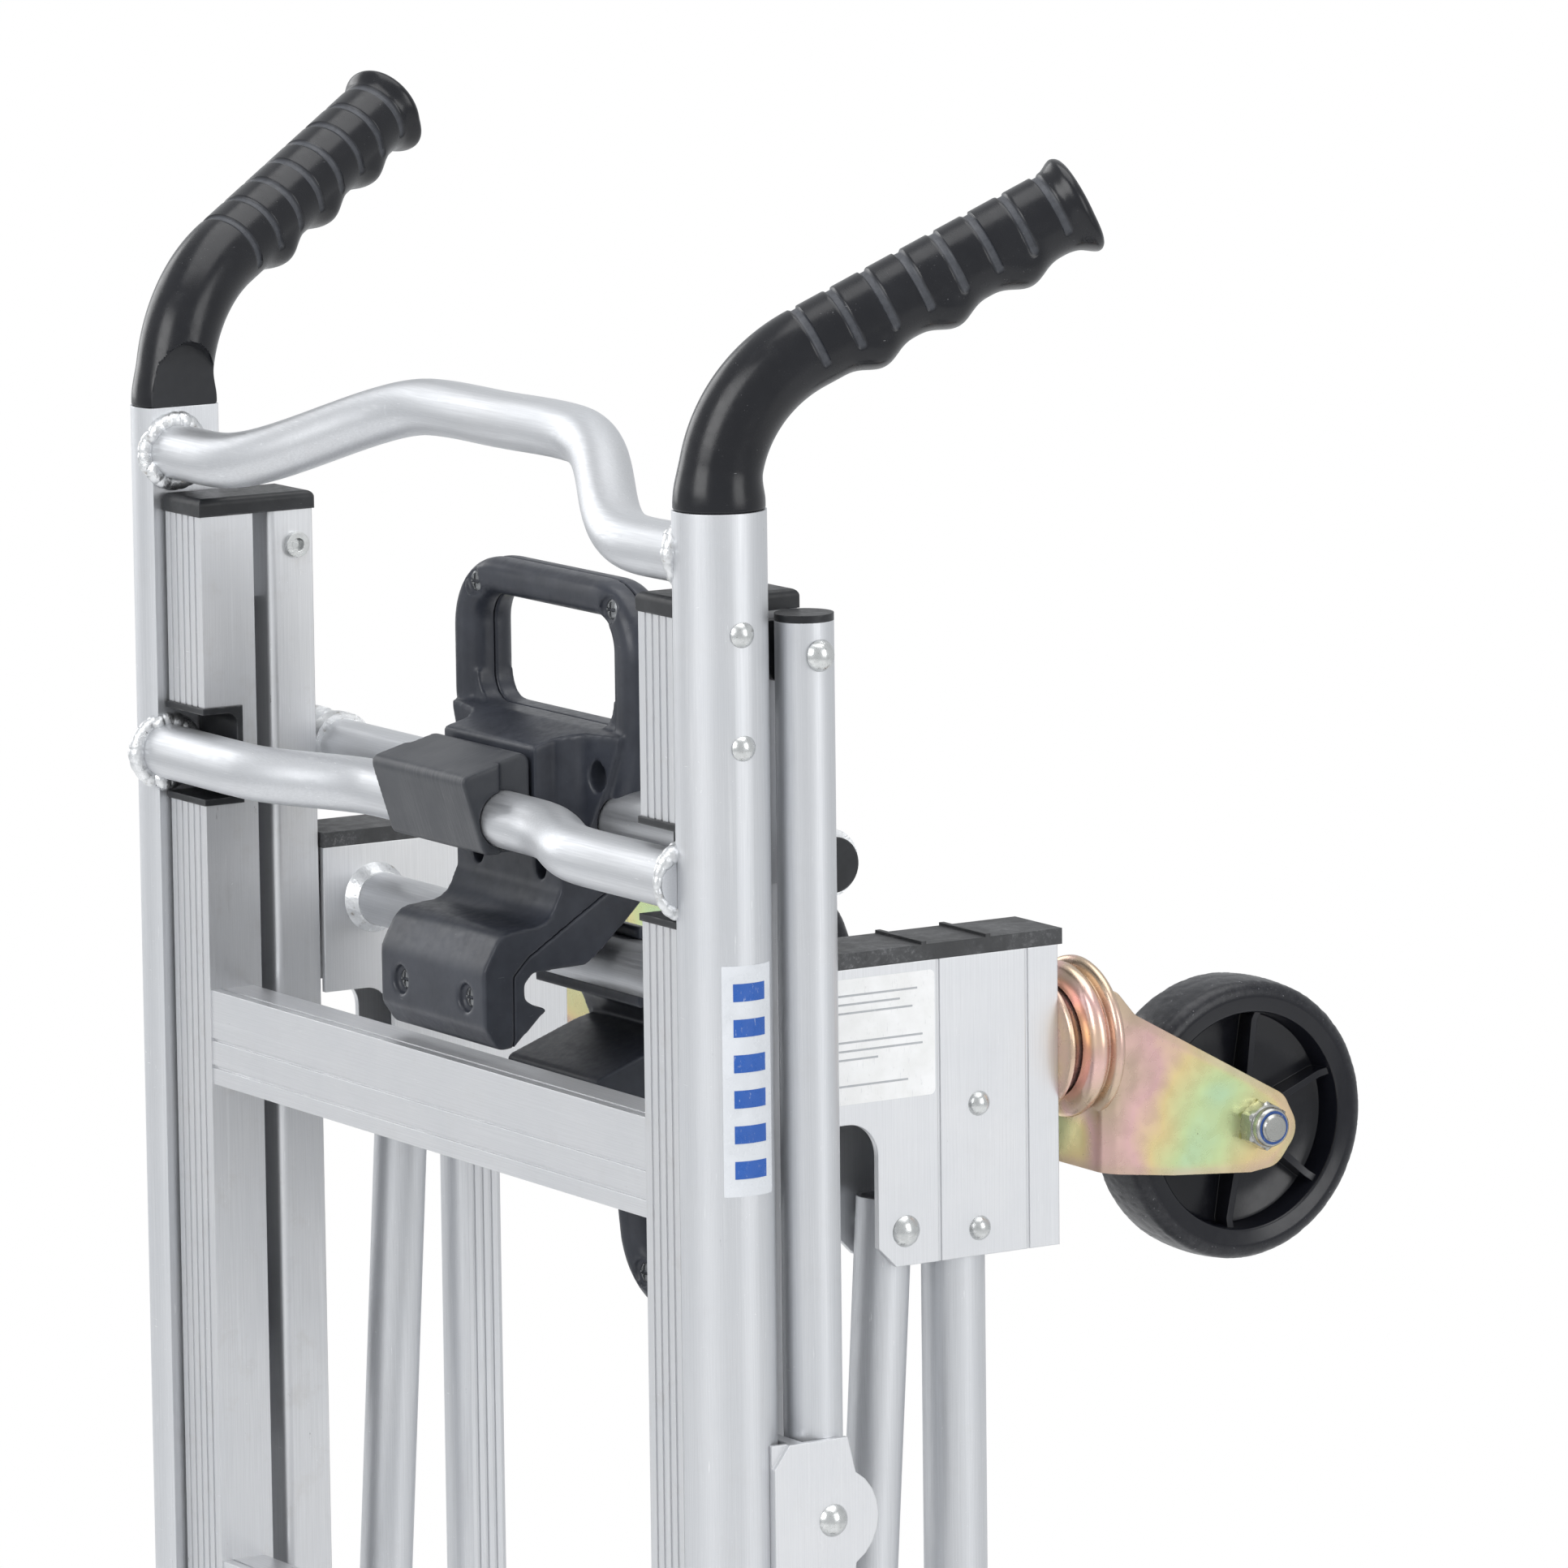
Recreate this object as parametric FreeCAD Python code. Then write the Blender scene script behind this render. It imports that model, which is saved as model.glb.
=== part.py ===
import FreeCAD, Part
import math
import os

# Convertible hand truck, standing upright on its toe plate and two main wheels.
# Millimetres. X runs across, Y runs rearward to the operator, Z is up.
# The origin is on the floor, midway across, in the plane of the rails' front faces.
# Every right-hand piece is at +X, and its left-hand twin is its mirror image.

# ---- driving dimensions ----
RAIL_IN = 151.0            # inner face of a rail
RAIL_OUT = 177.5           # outer face of a rail
RAIL_TOP = 1048.0
RAIL_BOX_DEPTH = 21.5      # front hollow box of the rail
RAIL_REAR_Y = 28.0         # front of the rail's rear channel
RAIL_DEPTH = 46.0
RAIL_WALL = 2.0
TOE_THICKNESS = 4.0
TOE_RIVETS = ((-164, 34), (-164, 72), (164, 34), (164, 72))
TOE_RIVET_RADIUS = 3.5

AXLE_Y = 154.5
MAIN_WHEEL_RADIUS = 127.0
AXLE_Z = MAIN_WHEEL_RADIUS
AXLE_RADIUS = 8.0

FOLD_LINE_Y = 39.0         # the brace's upper pivot and the slide shoe lie on this line
FOLD_TOP_Z = 1035.3        # upper pivot of the brace
BRACE_LENGTH = 293.5       # upper pivot to lower pivot, and lower pivot to slide shoe
FOLD_MID_Z = FOLD_TOP_Z - BRACE_LENGTH
FOLD_LOW_Z = FOLD_MID_Z - BRACE_LENGTH

HANDLE_FLAT = 179.0        # flat inner face of the D-shaped handle tube
HANDLE_X = 187.0
HANDLE_Y = 10.0
HANDLE_RADIUS = 15.9
HANDLE_LOW_Z = 430.0
HANDLE_WALL = 2.2
HANDLE_RIVET_Y = 9.0
HANDLE_RIVET_HEIGHTS = (1044.7, 1006.8)
HANDLE_RIVET_RADIUS = 3.2
CORE_RADIUS = 12.4         # round tube inside the grip
GRIP_START_Z = 1085.0
GRIP_RADIUS = 15.0
GRIP_FLAT_WALL = 1.5
BEND_Z = 1122.4            # where the tube's upright and inclined lines meet
BEND_RADIUS = 53.6
GRIP_DIRECTION = (0.312, 0.838, 0.447)
GRIP_REACH = 138.0         # from the bend's corner to the grip's end

BAR_RADIUS = 10.0
BAR_WALL = 1.8
BAR_END_DEPTH = 3.0                # a crossbar's end lies this far inside the handle's flat
GRAB_BAR_Y = 5.0
GRAB_BAR_Z = 1069.0
GRAB_BAR_BOW = (33.0, 26.0)        # rearward and upward offset of its middle
LOWER_BAR_Y = -1.0
LOWER_BAR_Z = 960.0
LOWER_BAR_SETBACK = 18.5           # rearward offset of its middle

REAR_BAR_Y = 58.0
REAR_BAR_RADIUS = 9.5
REAR_BAR_HALF = 179.0
PIVOT_RADIUS = 4.0                 # bolts and rivets that the frames turn on
BRACE_X = 193.0
BRACE_RADIUS = 10.0
BRACE_BORE = 8.2
BRACE_HEAD = 11.0                  # brace tube beyond its upper pivot
BRACE_TAIL = 8.0                   # brace tube beyond its lower pivot
BRACKET_CHEEK_X = 203.2            # inner face of the brace bracket's outer cheek
BRACKET_THICKNESS = 2.0
CASTER_X = 163.5           # middle of a caster bracket
BRACKET_HALF_WIDTH = 14.5
BRACKET_FRONT_Y = 47.0
BRACKET_REAR_Y = 149.3
BRACKET_TOP = 923.3
BRACKET_BOTTOM = 818.9
CASTER_BAR_Y = 68.6
CASTER_BAR_Z = 903.2
CASTER_BAR_RADIUS = 9.75
CASTER_TUBE_Y = 115.0
CASTER_TUBE_BORE = 7.6
STRUT_PIVOT_Y = 86.8
STRUT_PIVOT_Z = 830.8
STRUT_LENGTH = 640.0
STRUT_LEAN = 3.34          # degrees, foot forward
STRUT_RADIUS = 9.75
STRUT_PIVOT = (STRUT_PIVOT_Y, STRUT_PIVOT_Z)
FRAME_RIVETS = ((116.7, 871.7), (116.7, 828.4))
SWIVEL_Z = 887.3
CASTER_AXLE_Y = 229.3
CASTER_AXLE_Z = 852.7
CASTER_WHEEL_RADIUS = 49.5
CASTER_WHEEL_HALF = 13.5
CASTER_RIBS = 6
CASTER_BOLT_RADIUS = 5.0
KINGPIN_RADIUS = 6.0
FORK_LEG_X = 17.5                  # middle of a fork leg from the middle of the wheel

MAIN_WHEEL_X = 226.0
TYRE_HALF = 35.0

RUNNING_GAP = 0.05         # radial play of every turning fit
CROSS_MEMBER_TOPS = (875.5, 663.5, 451.5, 239.5)
CROSS_MEMBER_HEIGHT = 34.5
NOTCH_LOW = 943.0
NOTCH_HIGH = 978.5
NOTCH_DEPTH = 15.5
LATCH_HALF_WIDTH = 36.0
WEDGE_HALF_WIDTH = 32.0
LOOP_HALF_WIDTH = 63.0
LOOP_OPENING_HALF = 46.0
LOOP_SCREWS = ((-48, 1034), (48, 1034))
NOSE_SCREWS = ((-22, 897), (22, 897))
TAIL_SCREWS = ((-48, 768.5), (48, 768.5))
SCREW_HEAD_RADIUS = 3.6

V = FreeCAD.Vector
ALONG = {"x": V(1, 0, 0), "y": V(0, 1, 0), "z": V(0, 0, 1)}


# ---- small building blocks ----
def box(x0, x1, y0, y1, z0, z1):
    return Part.makeBox(x1 - x0, y1 - y0, z1 - z0, V(x0, y0, z0))


def rod(axis, start, length, radius):
    return Part.makeCylinder(radius, length, V(*start), ALONG[axis])


def tube(axis, start, length, outer, inner):
    return rod(axis, start, length, outer).cut(rod(axis, start, length, inner))


def prism_x(points, x0, x1):
    """Closed outline of (y, z) points, extruded across from x0 to x1."""
    corners = [V(x0, y, z) for y, z in points]
    face = Part.Face(Part.makePolygon(corners + corners[:1]))
    return face.extrude(V(x1 - x0, 0, 0))


def prism_y(points, y0, y1):
    """Outline of (x, z) points made solid between y0 and y1."""
    corners = [V(x, y0, z) for x, z in points]
    face = Part.Face(Part.makePolygon(corners + corners[:1]))
    return face.extrude(V(0, y1 - y0, 0))


def prism_z(points, z0, z1):
    corners = [V(x, y, z0) for x, y in points]
    face = Part.Face(Part.makePolygon(corners + corners[:1]))
    return face.extrude(V(0, 0, z1 - z0))


def fused(shapes):
    return shapes[0].multiFuse(shapes[1:]).removeSplitter() if len(shapes) > 1 else shapes[0]


def cut_all(shape, tools):
    for tool in tools:
        shape = shape.cut(tool)
    return shape


def mirrored(shape):
    return shape.mirror(V(0, 0, 0), V(1, 0, 0))


def both_sides(shapes):
    return shapes + [mirrored(shape) for shape in shapes]


def rounded(shape, radius, wanted):
    """Fillet the edges whose middle point passes the test."""
    edges = [edge for edge in shape.Edges if wanted(edge.CenterOfMass)]
    return shape.makeFillet(radius, edges) if edges else shape


def dome_rivet(x, y, z, radius, height, shank_radius, shank_length):
    """A dome head standing out along +X from the plane x, with its shank behind it."""
    ball_radius = (radius ** 2 + height ** 2) / (2 * height)
    ball = Part.makeSphere(ball_radius, V(x + height - ball_radius, y, z))
    head = ball.common(box(x, x + height + 1, y - radius - 1, y + radius + 1, z - radius - 1, z + radius + 1))
    shank = rod("x", (x - shank_length, y, z), shank_length, shank_radius)
    return head.fuse(shank)


def hexagon(x, y, z, across_flats, thickness):
    radius = across_flats / math.sqrt(3)
    points = [(y + radius * math.cos(math.radians(60 * k)), z + radius * math.sin(math.radians(60 * k)))
              for k in range(6)]
    return prism_x(points, x, x + thickness)


def export(name, shapes):
    shape = shapes if not isinstance(shapes, list) else Part.Compound(shapes)
    shape.exportStep(os.path.join("parts", name + ".step"))


def export_pair(name, shape):
    export(name + "_right", shape)
    export(name + "_left", mirrored(shape))


# ---- deck frame ----
def rail():
    front = box(RAIL_IN, RAIL_OUT, 0, RAIL_BOX_DEPTH, TOE_THICKNESS, RAIL_TOP)
    front = front.cut(box(RAIL_IN + RAIL_WALL, RAIL_OUT - RAIL_WALL, RAIL_WALL, RAIL_BOX_DEPTH - RAIL_WALL,
                          TOE_THICKNESS, RAIL_TOP))
    groove_pitch = 4.4
    for k in range(CASTER_RIBS):
        groove_x = RAIL_IN + 4.0 + k * groove_pitch
        front = front.cut(box(groove_x, groove_x + 1.4, 0, 0.7, TOE_THICKNESS, RAIL_TOP))
    rear = box(RAIL_IN, RAIL_OUT, RAIL_REAR_Y, RAIL_DEPTH, TOE_THICKNESS, RAIL_TOP)
    rear = rounded(rear, 3.0, lambda c: abs(c.x - RAIL_IN) < 0.1 and abs(c.y - RAIL_REAR_Y) < 0.1)
    shoe_groove_depth = 2.5
    outer_wall = RAIL_WALL + shoe_groove_depth
    rear = rear.cut(box(RAIL_IN + RAIL_WALL, RAIL_OUT - outer_wall, RAIL_REAR_Y + RAIL_WALL, RAIL_DEPTH,
                        TOE_THICKNESS, RAIL_TOP))
    rear = rear.cut(box(RAIL_OUT - shoe_groove_depth, RAIL_OUT, FOLD_LINE_Y - 4.5, FOLD_LINE_Y + 4.5,
                        FOLD_LOW_Z - 30, FOLD_TOP_Z - 80))
    web_x = (RAIL_IN + RAIL_OUT) / 2 - 1.5
    web = box(web_x, web_x + 3, RAIL_BOX_DEPTH, RAIL_REAR_Y, TOE_THICKNESS, RAIL_TOP)
    stay = 24.0
    spans = [TOE_THICKNESS + 80] + [top - CROSS_MEMBER_HEIGHT / 2 for top in reversed(CROSS_MEMBER_TOPS)]
    spans = spans + [RAIL_TOP - 20]
    for low, high in zip(spans[:-1], spans[1:]):
        web = web.cut(box(web_x - 1, web_x + 4, RAIL_BOX_DEPTH, RAIL_REAR_Y, low + stay / 2, high - stay / 2))
    notch = box(RAIL_IN - 1, RAIL_OUT + 1, -1, NOTCH_DEPTH, NOTCH_LOW, NOTCH_HIGH)
    bolt_hole = rod("x", (RAIL_IN - 1, FOLD_LINE_Y, FOLD_TOP_Z), RAIL_OUT - RAIL_IN + 2, PIVOT_RADIUS)
    return cut_all(fused([front, rear, web]), [notch, bolt_hole])


def rail_cap():
    height = 6.5
    cap = box(RAIL_IN - 0.5, RAIL_OUT + 0.5, -0.8, RAIL_DEPTH + 0.8, RAIL_TOP, RAIL_TOP + height)
    cap = rounded(cap, 2.5, lambda c: c.z > RAIL_TOP + height - 0.1)
    plug = box(RAIL_IN + RAIL_WALL, RAIL_OUT - RAIL_WALL, RAIL_WALL, RAIL_BOX_DEPTH - RAIL_WALL,
               RAIL_TOP - 12, RAIL_TOP)
    return fused([cap, plug])


def notch_liner():
    wall = 2.4
    outer = box(RAIL_IN - 0.6, RAIL_OUT + 0.6, -0.8, NOTCH_DEPTH, NOTCH_LOW, NOTCH_HIGH)
    opening = box(RAIL_IN - 2, RAIL_OUT + 2, -2, NOTCH_DEPTH - wall, NOTCH_LOW + wall, NOTCH_HIGH - wall)
    opening = rounded(opening, 4.0, lambda c: abs(c.y - (NOTCH_DEPTH - wall)) < 0.1 and abs(c.x) > RAIL_IN - 1
                      and abs(c.z - (NOTCH_LOW + NOTCH_HIGH) / 2) > 5)
    return outer.cut(opening)


def cross_member(top):
    bottom = top - CROSS_MEMBER_HEIGHT
    front_y = 0.5
    rear_y = 18.0
    beam = box(-RAIL_IN, RAIL_IN, front_y, rear_y, bottom, top)
    beam = beam.cut(box(-RAIL_IN, RAIL_IN, front_y + 2, rear_y - 2, bottom + 2, top - 2))
    for height in (CROSS_MEMBER_HEIGHT * 0.46, CROSS_MEMBER_HEIGHT * 0.17):
        groove_z = bottom + height
        beam = beam.cut(box(-RAIL_IN, RAIL_IN, front_y, front_y + 0.8, groove_z, groove_z + 1.2))
    return beam.cut(box(-RAIL_IN, RAIL_IN, front_y + 3.5, front_y + 4.7, top - 0.7, top))


def rear_crossbar():
    return tube("x", (-REAR_BAR_HALF, REAR_BAR_Y, LOWER_BAR_Z), 2 * REAR_BAR_HALF,
                REAR_BAR_RADIUS, REAR_BAR_RADIUS - 2)


def rear_crossbar_welds():
    bead = tube("x", (RAIL_IN + 1, REAR_BAR_Y, LOWER_BAR_Z), 6, REAR_BAR_RADIUS + 2.4, REAR_BAR_RADIUS)
    far_bead = tube("x", (RAIL_OUT - 7, REAR_BAR_Y, LOWER_BAR_Z), 6, REAR_BAR_RADIUS + 2.4, REAR_BAR_RADIUS)
    behind_rail = box(0, 200, RAIL_DEPTH, REAR_BAR_Y + 20, LOWER_BAR_Z - 20, LOWER_BAR_Z + 20)
    return both_sides([bead.common(behind_rail), far_bead.common(behind_rail)])


def rear_crossbar_plugs():
    head = rod("x", (REAR_BAR_HALF, REAR_BAR_Y, LOWER_BAR_Z), 1.5, REAR_BAR_RADIUS)
    stem = rod("x", (REAR_BAR_HALF - 10, REAR_BAR_Y, LOWER_BAR_Z), 10, REAR_BAR_RADIUS - 2)
    return both_sides([head.fuse(stem)])


def brace_pivot_block():
    block = box(RAIL_OUT, 182.6, FOLD_LINE_Y - 8, FOLD_LINE_Y + 8, FOLD_TOP_Z - 11, FOLD_TOP_Z + 10)
    block = rounded(block, 6.0, lambda c: abs(c.x - 180) < 1 and c.z < FOLD_TOP_Z - 10)
    return block.cut(rod("x", (170, FOLD_LINE_Y, FOLD_TOP_Z), 20, PIVOT_RADIUS))


def brace_pivot_bolts():
    face_x = BRACE_X + BRACE_RADIUS + 0.1
    bolt = dome_rivet(face_x, FOLD_LINE_Y, FOLD_TOP_Z, 5.4, 3.6, PIVOT_RADIUS, face_x - RAIL_IN)
    end_ring = tube("x", (RAIL_IN - 2.2, FOLD_LINE_Y, FOLD_TOP_Z), 2.2, 4.6, 2.4)
    return both_sides([bolt.fuse(end_ring)])


def toe_plate():
    half = 229.0
    inner_half = 178.5
    depth = 190.0
    base = prism_z([(-inner_half, RAIL_DEPTH), (-inner_half, 0), (-half, -26), (-half, -depth + 40),
                    (-half + 40, -depth), (half - 40, -depth), (half, -depth + 40), (half, -26),
                    (inner_half, 0), (inner_half, RAIL_DEPTH)], 0, TOE_THICKNESS)
    flange = box(-inner_half, inner_half, -TOE_THICKNESS, 0, 0, 94)
    plate = fused([base, flange])
    holes = [rod("y", (x, -5, z), 6, TOE_RIVET_RADIUS) for x, z in TOE_RIVETS]
    return cut_all(plate, holes)


def toe_plate_rivets():
    rivets = []
    ball_radius = 9.2
    for x, z in TOE_RIVETS:
        ball = Part.makeSphere(ball_radius, V(x, 0, z))
        head = ball.common(box(x - 8, x + 8, -ball_radius, -TOE_THICKNESS, z - 8, z + 8))
        rivets.append(head.fuse(rod("y", (x, -TOE_THICKNESS, z), TOE_THICKNESS, TOE_RIVET_RADIUS)))
    return rivets


def axle_bracket():
    plate = prism_x([(3, 62), (44, 62), (AXLE_Y - 6, AXLE_Z - 21), (AXLE_Y + 22, AXLE_Z - 8),
                     (AXLE_Y + 22, AXLE_Z + 12), (AXLE_Y - 2, AXLE_Z + 22), (44, 200), (3, 200)],
                    145, RAIL_IN)
    window = prism_x([(30, 96), (44, 94), (116, 116), (116, 136), (44, 172), (30, 174)], 144, RAIL_IN + 1)
    bore = rod("x", (144, AXLE_Y, AXLE_Z), 8, AXLE_RADIUS)
    return cut_all(plate, [window, bore])


def main_axle():
    return rod("x", (-268.5, AXLE_Y, AXLE_Z), 537, AXLE_RADIUS)


def axle_spacers():
    inner = tube("x", (RAIL_IN, AXLE_Y, AXLE_Z), 5.5, 13, AXLE_RADIUS)
    outer = tube("x", (171.0, AXLE_Y, AXLE_Z), 18.0, 12, AXLE_RADIUS)
    cap = tube("x", (263.0, AXLE_Y, AXLE_Z), 5.5, 13, AXLE_RADIUS)
    return both_sides([inner, outer, cap])


# ---- folding handle ----
def brace():
    low = FOLD_MID_Z - BRACE_TAIL
    high = FOLD_TOP_Z + BRACE_HEAD
    body = tube("z", (BRACE_X, FOLD_LINE_Y, low), high - low, BRACE_RADIUS, BRACE_BORE)
    holes = [rod("x", (180, FOLD_LINE_Y, z), 26, PIVOT_RADIUS + RUNNING_GAP)
             for z in (FOLD_MID_Z, FOLD_TOP_Z)]
    return cut_all(body, holes)


def brace_end_plugs():
    top = FOLD_TOP_Z + BRACE_HEAD
    head = rod("z", (BRACE_X, FOLD_LINE_Y, top), 2.5, BRACE_RADIUS)
    stem = rod("z", (BRACE_X, FOLD_LINE_Y, top - 5), 5, BRACE_BORE)
    return both_sides([head.fuse(stem)])


def d_section(low, high, radius, flat):
    body = rod("z", (HANDLE_X, HANDLE_Y, low), high - low, radius)
    return body.cut(box(HANDLE_X - 40, flat, HANDLE_Y - 30, HANDLE_Y + 30, low - 1, high + 1))


def grip_path(start_z, reach):
    """Wire up the handle's side, round the bend and out along the grip."""
    direction = V(*GRIP_DIRECTION)
    direction.normalize()
    corner = V(HANDLE_X, HANDLE_Y, BEND_Z)
    turn = math.acos(direction.z)
    setback = BEND_RADIUS * math.tan(turn / 2)
    bend_start = corner - V(0, 0, 1) * setback
    bend_end = corner + direction * setback
    inward = direction - V(0, 0, 1) * direction.z
    inward.normalize()
    centre = bend_start + inward * BEND_RADIUS
    towards_corner = corner - centre
    towards_corner.normalize()
    middle = centre + towards_corner * BEND_RADIUS
    edges = [Part.LineSegment(V(HANDLE_X, HANDLE_Y, start_z), bend_start).toShape(),
             Part.Arc(bend_start, middle, bend_end).toShape(),
             Part.LineSegment(bend_end, corner + direction * reach).toShape()]
    return Part.Wire(edges)


def swept_rod(path, radius, start_z):
    profile = Part.Wire(Part.makeCircle(radius, V(HANDLE_X, HANDLE_Y, start_z), V(0, 0, 1)))
    return path.makePipeShell([profile], True, False)


def handle_rivet_holes():
    return [rod("x", (HANDLE_X + 5, HANDLE_RIVET_Y, z), 20, HANDLE_RIVET_RADIUS)
            for z in HANDLE_RIVET_HEIGHTS]


def handle_tube():
    side = d_section(HANDLE_LOW_Z, GRIP_START_Z, HANDLE_RADIUS, HANDLE_FLAT)
    bore = d_section(HANDLE_LOW_Z, GRIP_START_Z, HANDLE_RADIUS - HANDLE_WALL, HANDLE_FLAT + HANDLE_WALL)
    side = side.cut(bore)
    collar = d_section(GRIP_START_Z - 3, GRIP_START_Z, HANDLE_RADIUS, HANDLE_FLAT)
    core_path = grip_path(GRIP_START_Z, GRIP_REACH - 5)
    core = swept_rod(core_path, CORE_RADIUS, GRIP_START_Z)
    core = core.cut(swept_rod(core_path, CORE_RADIUS - HANDLE_WALL, GRIP_START_Z))
    core = core.cut(grip_flat_side(HANDLE_FLAT + GRIP_FLAT_WALL, 40))
    return cut_all(fused([side, collar, core]), handle_rivet_holes())


def handle_rivets():
    face_x = HANDLE_X + HANDLE_RADIUS - 0.6
    rivets = [dome_rivet(face_x, HANDLE_RIVET_Y, z, 4.6, 2.8, HANDLE_RIVET_RADIUS, 3.0)
              for z in HANDLE_RIVET_HEIGHTS]
    tube_body = rod("z", (HANDLE_X, HANDLE_Y, 900), 200, HANDLE_RADIUS)
    tube_body = cut_all(tube_body, handle_rivet_holes())
    return both_sides([rivet.cut(tube_body) for rivet in rivets])


def grip():
    """Plain envelope of the moulded grip: a closed sleeve over the bent tube."""
    outer = swept_rod(grip_path(GRIP_START_Z, GRIP_REACH), GRIP_RADIUS, GRIP_START_Z)
    outer = rounded(outer, 3.0, lambda c: c.y > HANDLE_Y + 90)
    outer = outer.cut(grip_flat_side(HANDLE_FLAT, 22))
    inner = swept_rod(grip_path(GRIP_START_Z, GRIP_REACH - 5), CORE_RADIUS, GRIP_START_Z)
    inner = inner.cut(grip_flat_side(HANDLE_FLAT + GRIP_FLAT_WALL, 40))
    return outer.cut(inner)


def grip_flat_side(x, height):
    return box(HANDLE_X - 40, x, -20, 40, GRIP_START_Z - 1, GRIP_START_Z + height)


def bowed_bar(end_y, end_z, back, up, outer_x, inner_x, radius):
    """A bar across the handle whose middle is offset; its ends are fitted to the side tubes."""
    points = []
    for share in (1.0, 0.92, 0.5, 0.08, 0.0):
        x = inner_x + (outer_x - inner_x) * share
        rise = 1 - share * share * (3 - 2 * share)
        points.append(V(x, end_y + back * rise, end_z + up * rise))
    end = V(HANDLE_FLAT + BAR_END_DEPTH, end_y, end_z)
    half = [end, V((HANDLE_FLAT + outer_x) / 2, end_y, end_z)] + points
    middle = [V(0, end_y + back, end_z + up)]
    whole = half + middle + [V(-p.x, p.y, p.z) for p in reversed(half)]
    curve = Part.BSplineCurve()
    curve.interpolate(Points=whole, InitialTangent=V(-1, 0, 0), FinalTangent=V(-1, 0, 0))
    profile = Part.Wire(Part.makeCircle(radius, end, V(1, 0, 0)))
    bar = Part.Wire(curve.toShape()).makePipeShell([profile], True, False)
    return cut_all(bar, handle_sides(end_z))


def handle_sides(z):
    side = d_section(z - 40, z + 40, HANDLE_RADIUS, HANDLE_FLAT)
    beyond = box(HANDLE_X, HANDLE_X + 40, HANDLE_Y - 40, HANDLE_Y + 40, z - 40, z + 40)
    return both_sides([side, beyond])


def top_grab_bar(radius=BAR_RADIUS):
    back, up = GRAB_BAR_BOW
    return bowed_bar(GRAB_BAR_Y, GRAB_BAR_Z, back, up, 147.0, 45.0, radius)


def lower_crossbar(radius=BAR_RADIUS):
    return bowed_bar(LOWER_BAR_Y, LOWER_BAR_Z, LOWER_BAR_SETBACK, 0, 118.0, 52.0, radius)


def hollowed(make_bar):
    """A bar with a bore that stops short of its welded ends."""
    reach = HANDLE_FLAT - 2
    bore = make_bar(BAR_RADIUS - BAR_WALL).common(box(-reach, reach, -60, 100, 900, 1150))
    return make_bar().cut(bore)


def handle_welds():
    beads = []
    for y, z in ((GRAB_BAR_Y, GRAB_BAR_Z), (LOWER_BAR_Y, LOWER_BAR_Z)):
        cone = Part.makeCone(BAR_RADIUS + 0.3, BAR_RADIUS + 3.2, 6.0, V(HANDLE_FLAT - 4.0, y, z), V(1, 0, 0))
        cone = cone.cut(rod("x", (HANDLE_FLAT - 6, y, z), 12, BAR_RADIUS + RUNNING_GAP))
        beads.append(cut_all(cone, handle_sides(z)))
    return both_sides(beads)


def brace_bracket():
    """Folded plate on the rear of the handle tube; its outer cheek carries the brace's lower pivot."""
    low = FOLD_MID_Z - 42
    high = FOLD_MID_Z + 28
    cheek_round = 18.0
    outline = [(16, high - 8), (22, high), (FOLD_LINE_Y + 6, high)]
    for angle in range(30, 151, 15):
        turn = math.radians(angle)
        outline.append((FOLD_LINE_Y + cheek_round * math.sin(turn),
                        FOLD_MID_Z + cheek_round * math.cos(turn)))
    outline += [(FOLD_LINE_Y + 6, low), (16, low)]
    cheek = prism_x(outline, BRACKET_CHEEK_X, BRACKET_CHEEK_X + BRACKET_THICKNESS)
    pin_hole = rod("x", (BRACKET_CHEEK_X - 1, FOLD_LINE_Y, FOLD_MID_Z), BRACKET_THICKNESS + 2, PIVOT_RADIUS)
    cheek = cheek.cut(pin_hole)
    stay = box(HANDLE_FLAT + 3, BRACKET_CHEEK_X, HANDLE_Y + 13.5, HANDLE_Y + 18, low, high)
    flap = box(BRACKET_CHEEK_X - 1.7, BRACKET_CHEEK_X, HANDLE_Y + 6, HANDLE_Y + 18, low, high)
    handle = rod("z", (HANDLE_X, HANDLE_Y, low - 1), high - low + 2, HANDLE_RADIUS)
    brace_swing = math.hypot(BRACE_TAIL, BRACE_RADIUS) + 0.5
    relief = rod("x", (HANDLE_FLAT, FOLD_LINE_Y, FOLD_MID_Z), BRACKET_CHEEK_X - HANDLE_FLAT, brace_swing)
    return fused([cheek, stay.cut(handle), flap.cut(handle)]).cut(relief)


def brace_lower_pins():
    face_x = BRACKET_CHEEK_X + BRACKET_THICKNESS
    return both_sides([dome_rivet(face_x, FOLD_LINE_Y, FOLD_MID_Z, 5.6, 3.6, PIVOT_RADIUS, 23.0)])


def slide_bracket():
    """Block behind the handle tube's foot that holds the slide shoe's pin."""
    low = FOLD_LOW_Z - 14
    high = FOLD_LOW_Z + 14
    block = box(186.0, 202.0, HANDLE_Y + 8, FOLD_LINE_Y + 10, low, high)
    block = rounded(block, 8.0, lambda c: c.y > FOLD_LINE_Y + 9 and abs(c.z - FOLD_LOW_Z) > 12
                    and abs(c.x - 194) < 1)
    block = block.cut(rod("z", (HANDLE_X, HANDLE_Y, low - 1), high - low + 2, HANDLE_RADIUS))
    return block.cut(rod("x", (185, FOLD_LINE_Y, FOLD_LOW_Z), 18, 3.5))


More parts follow.
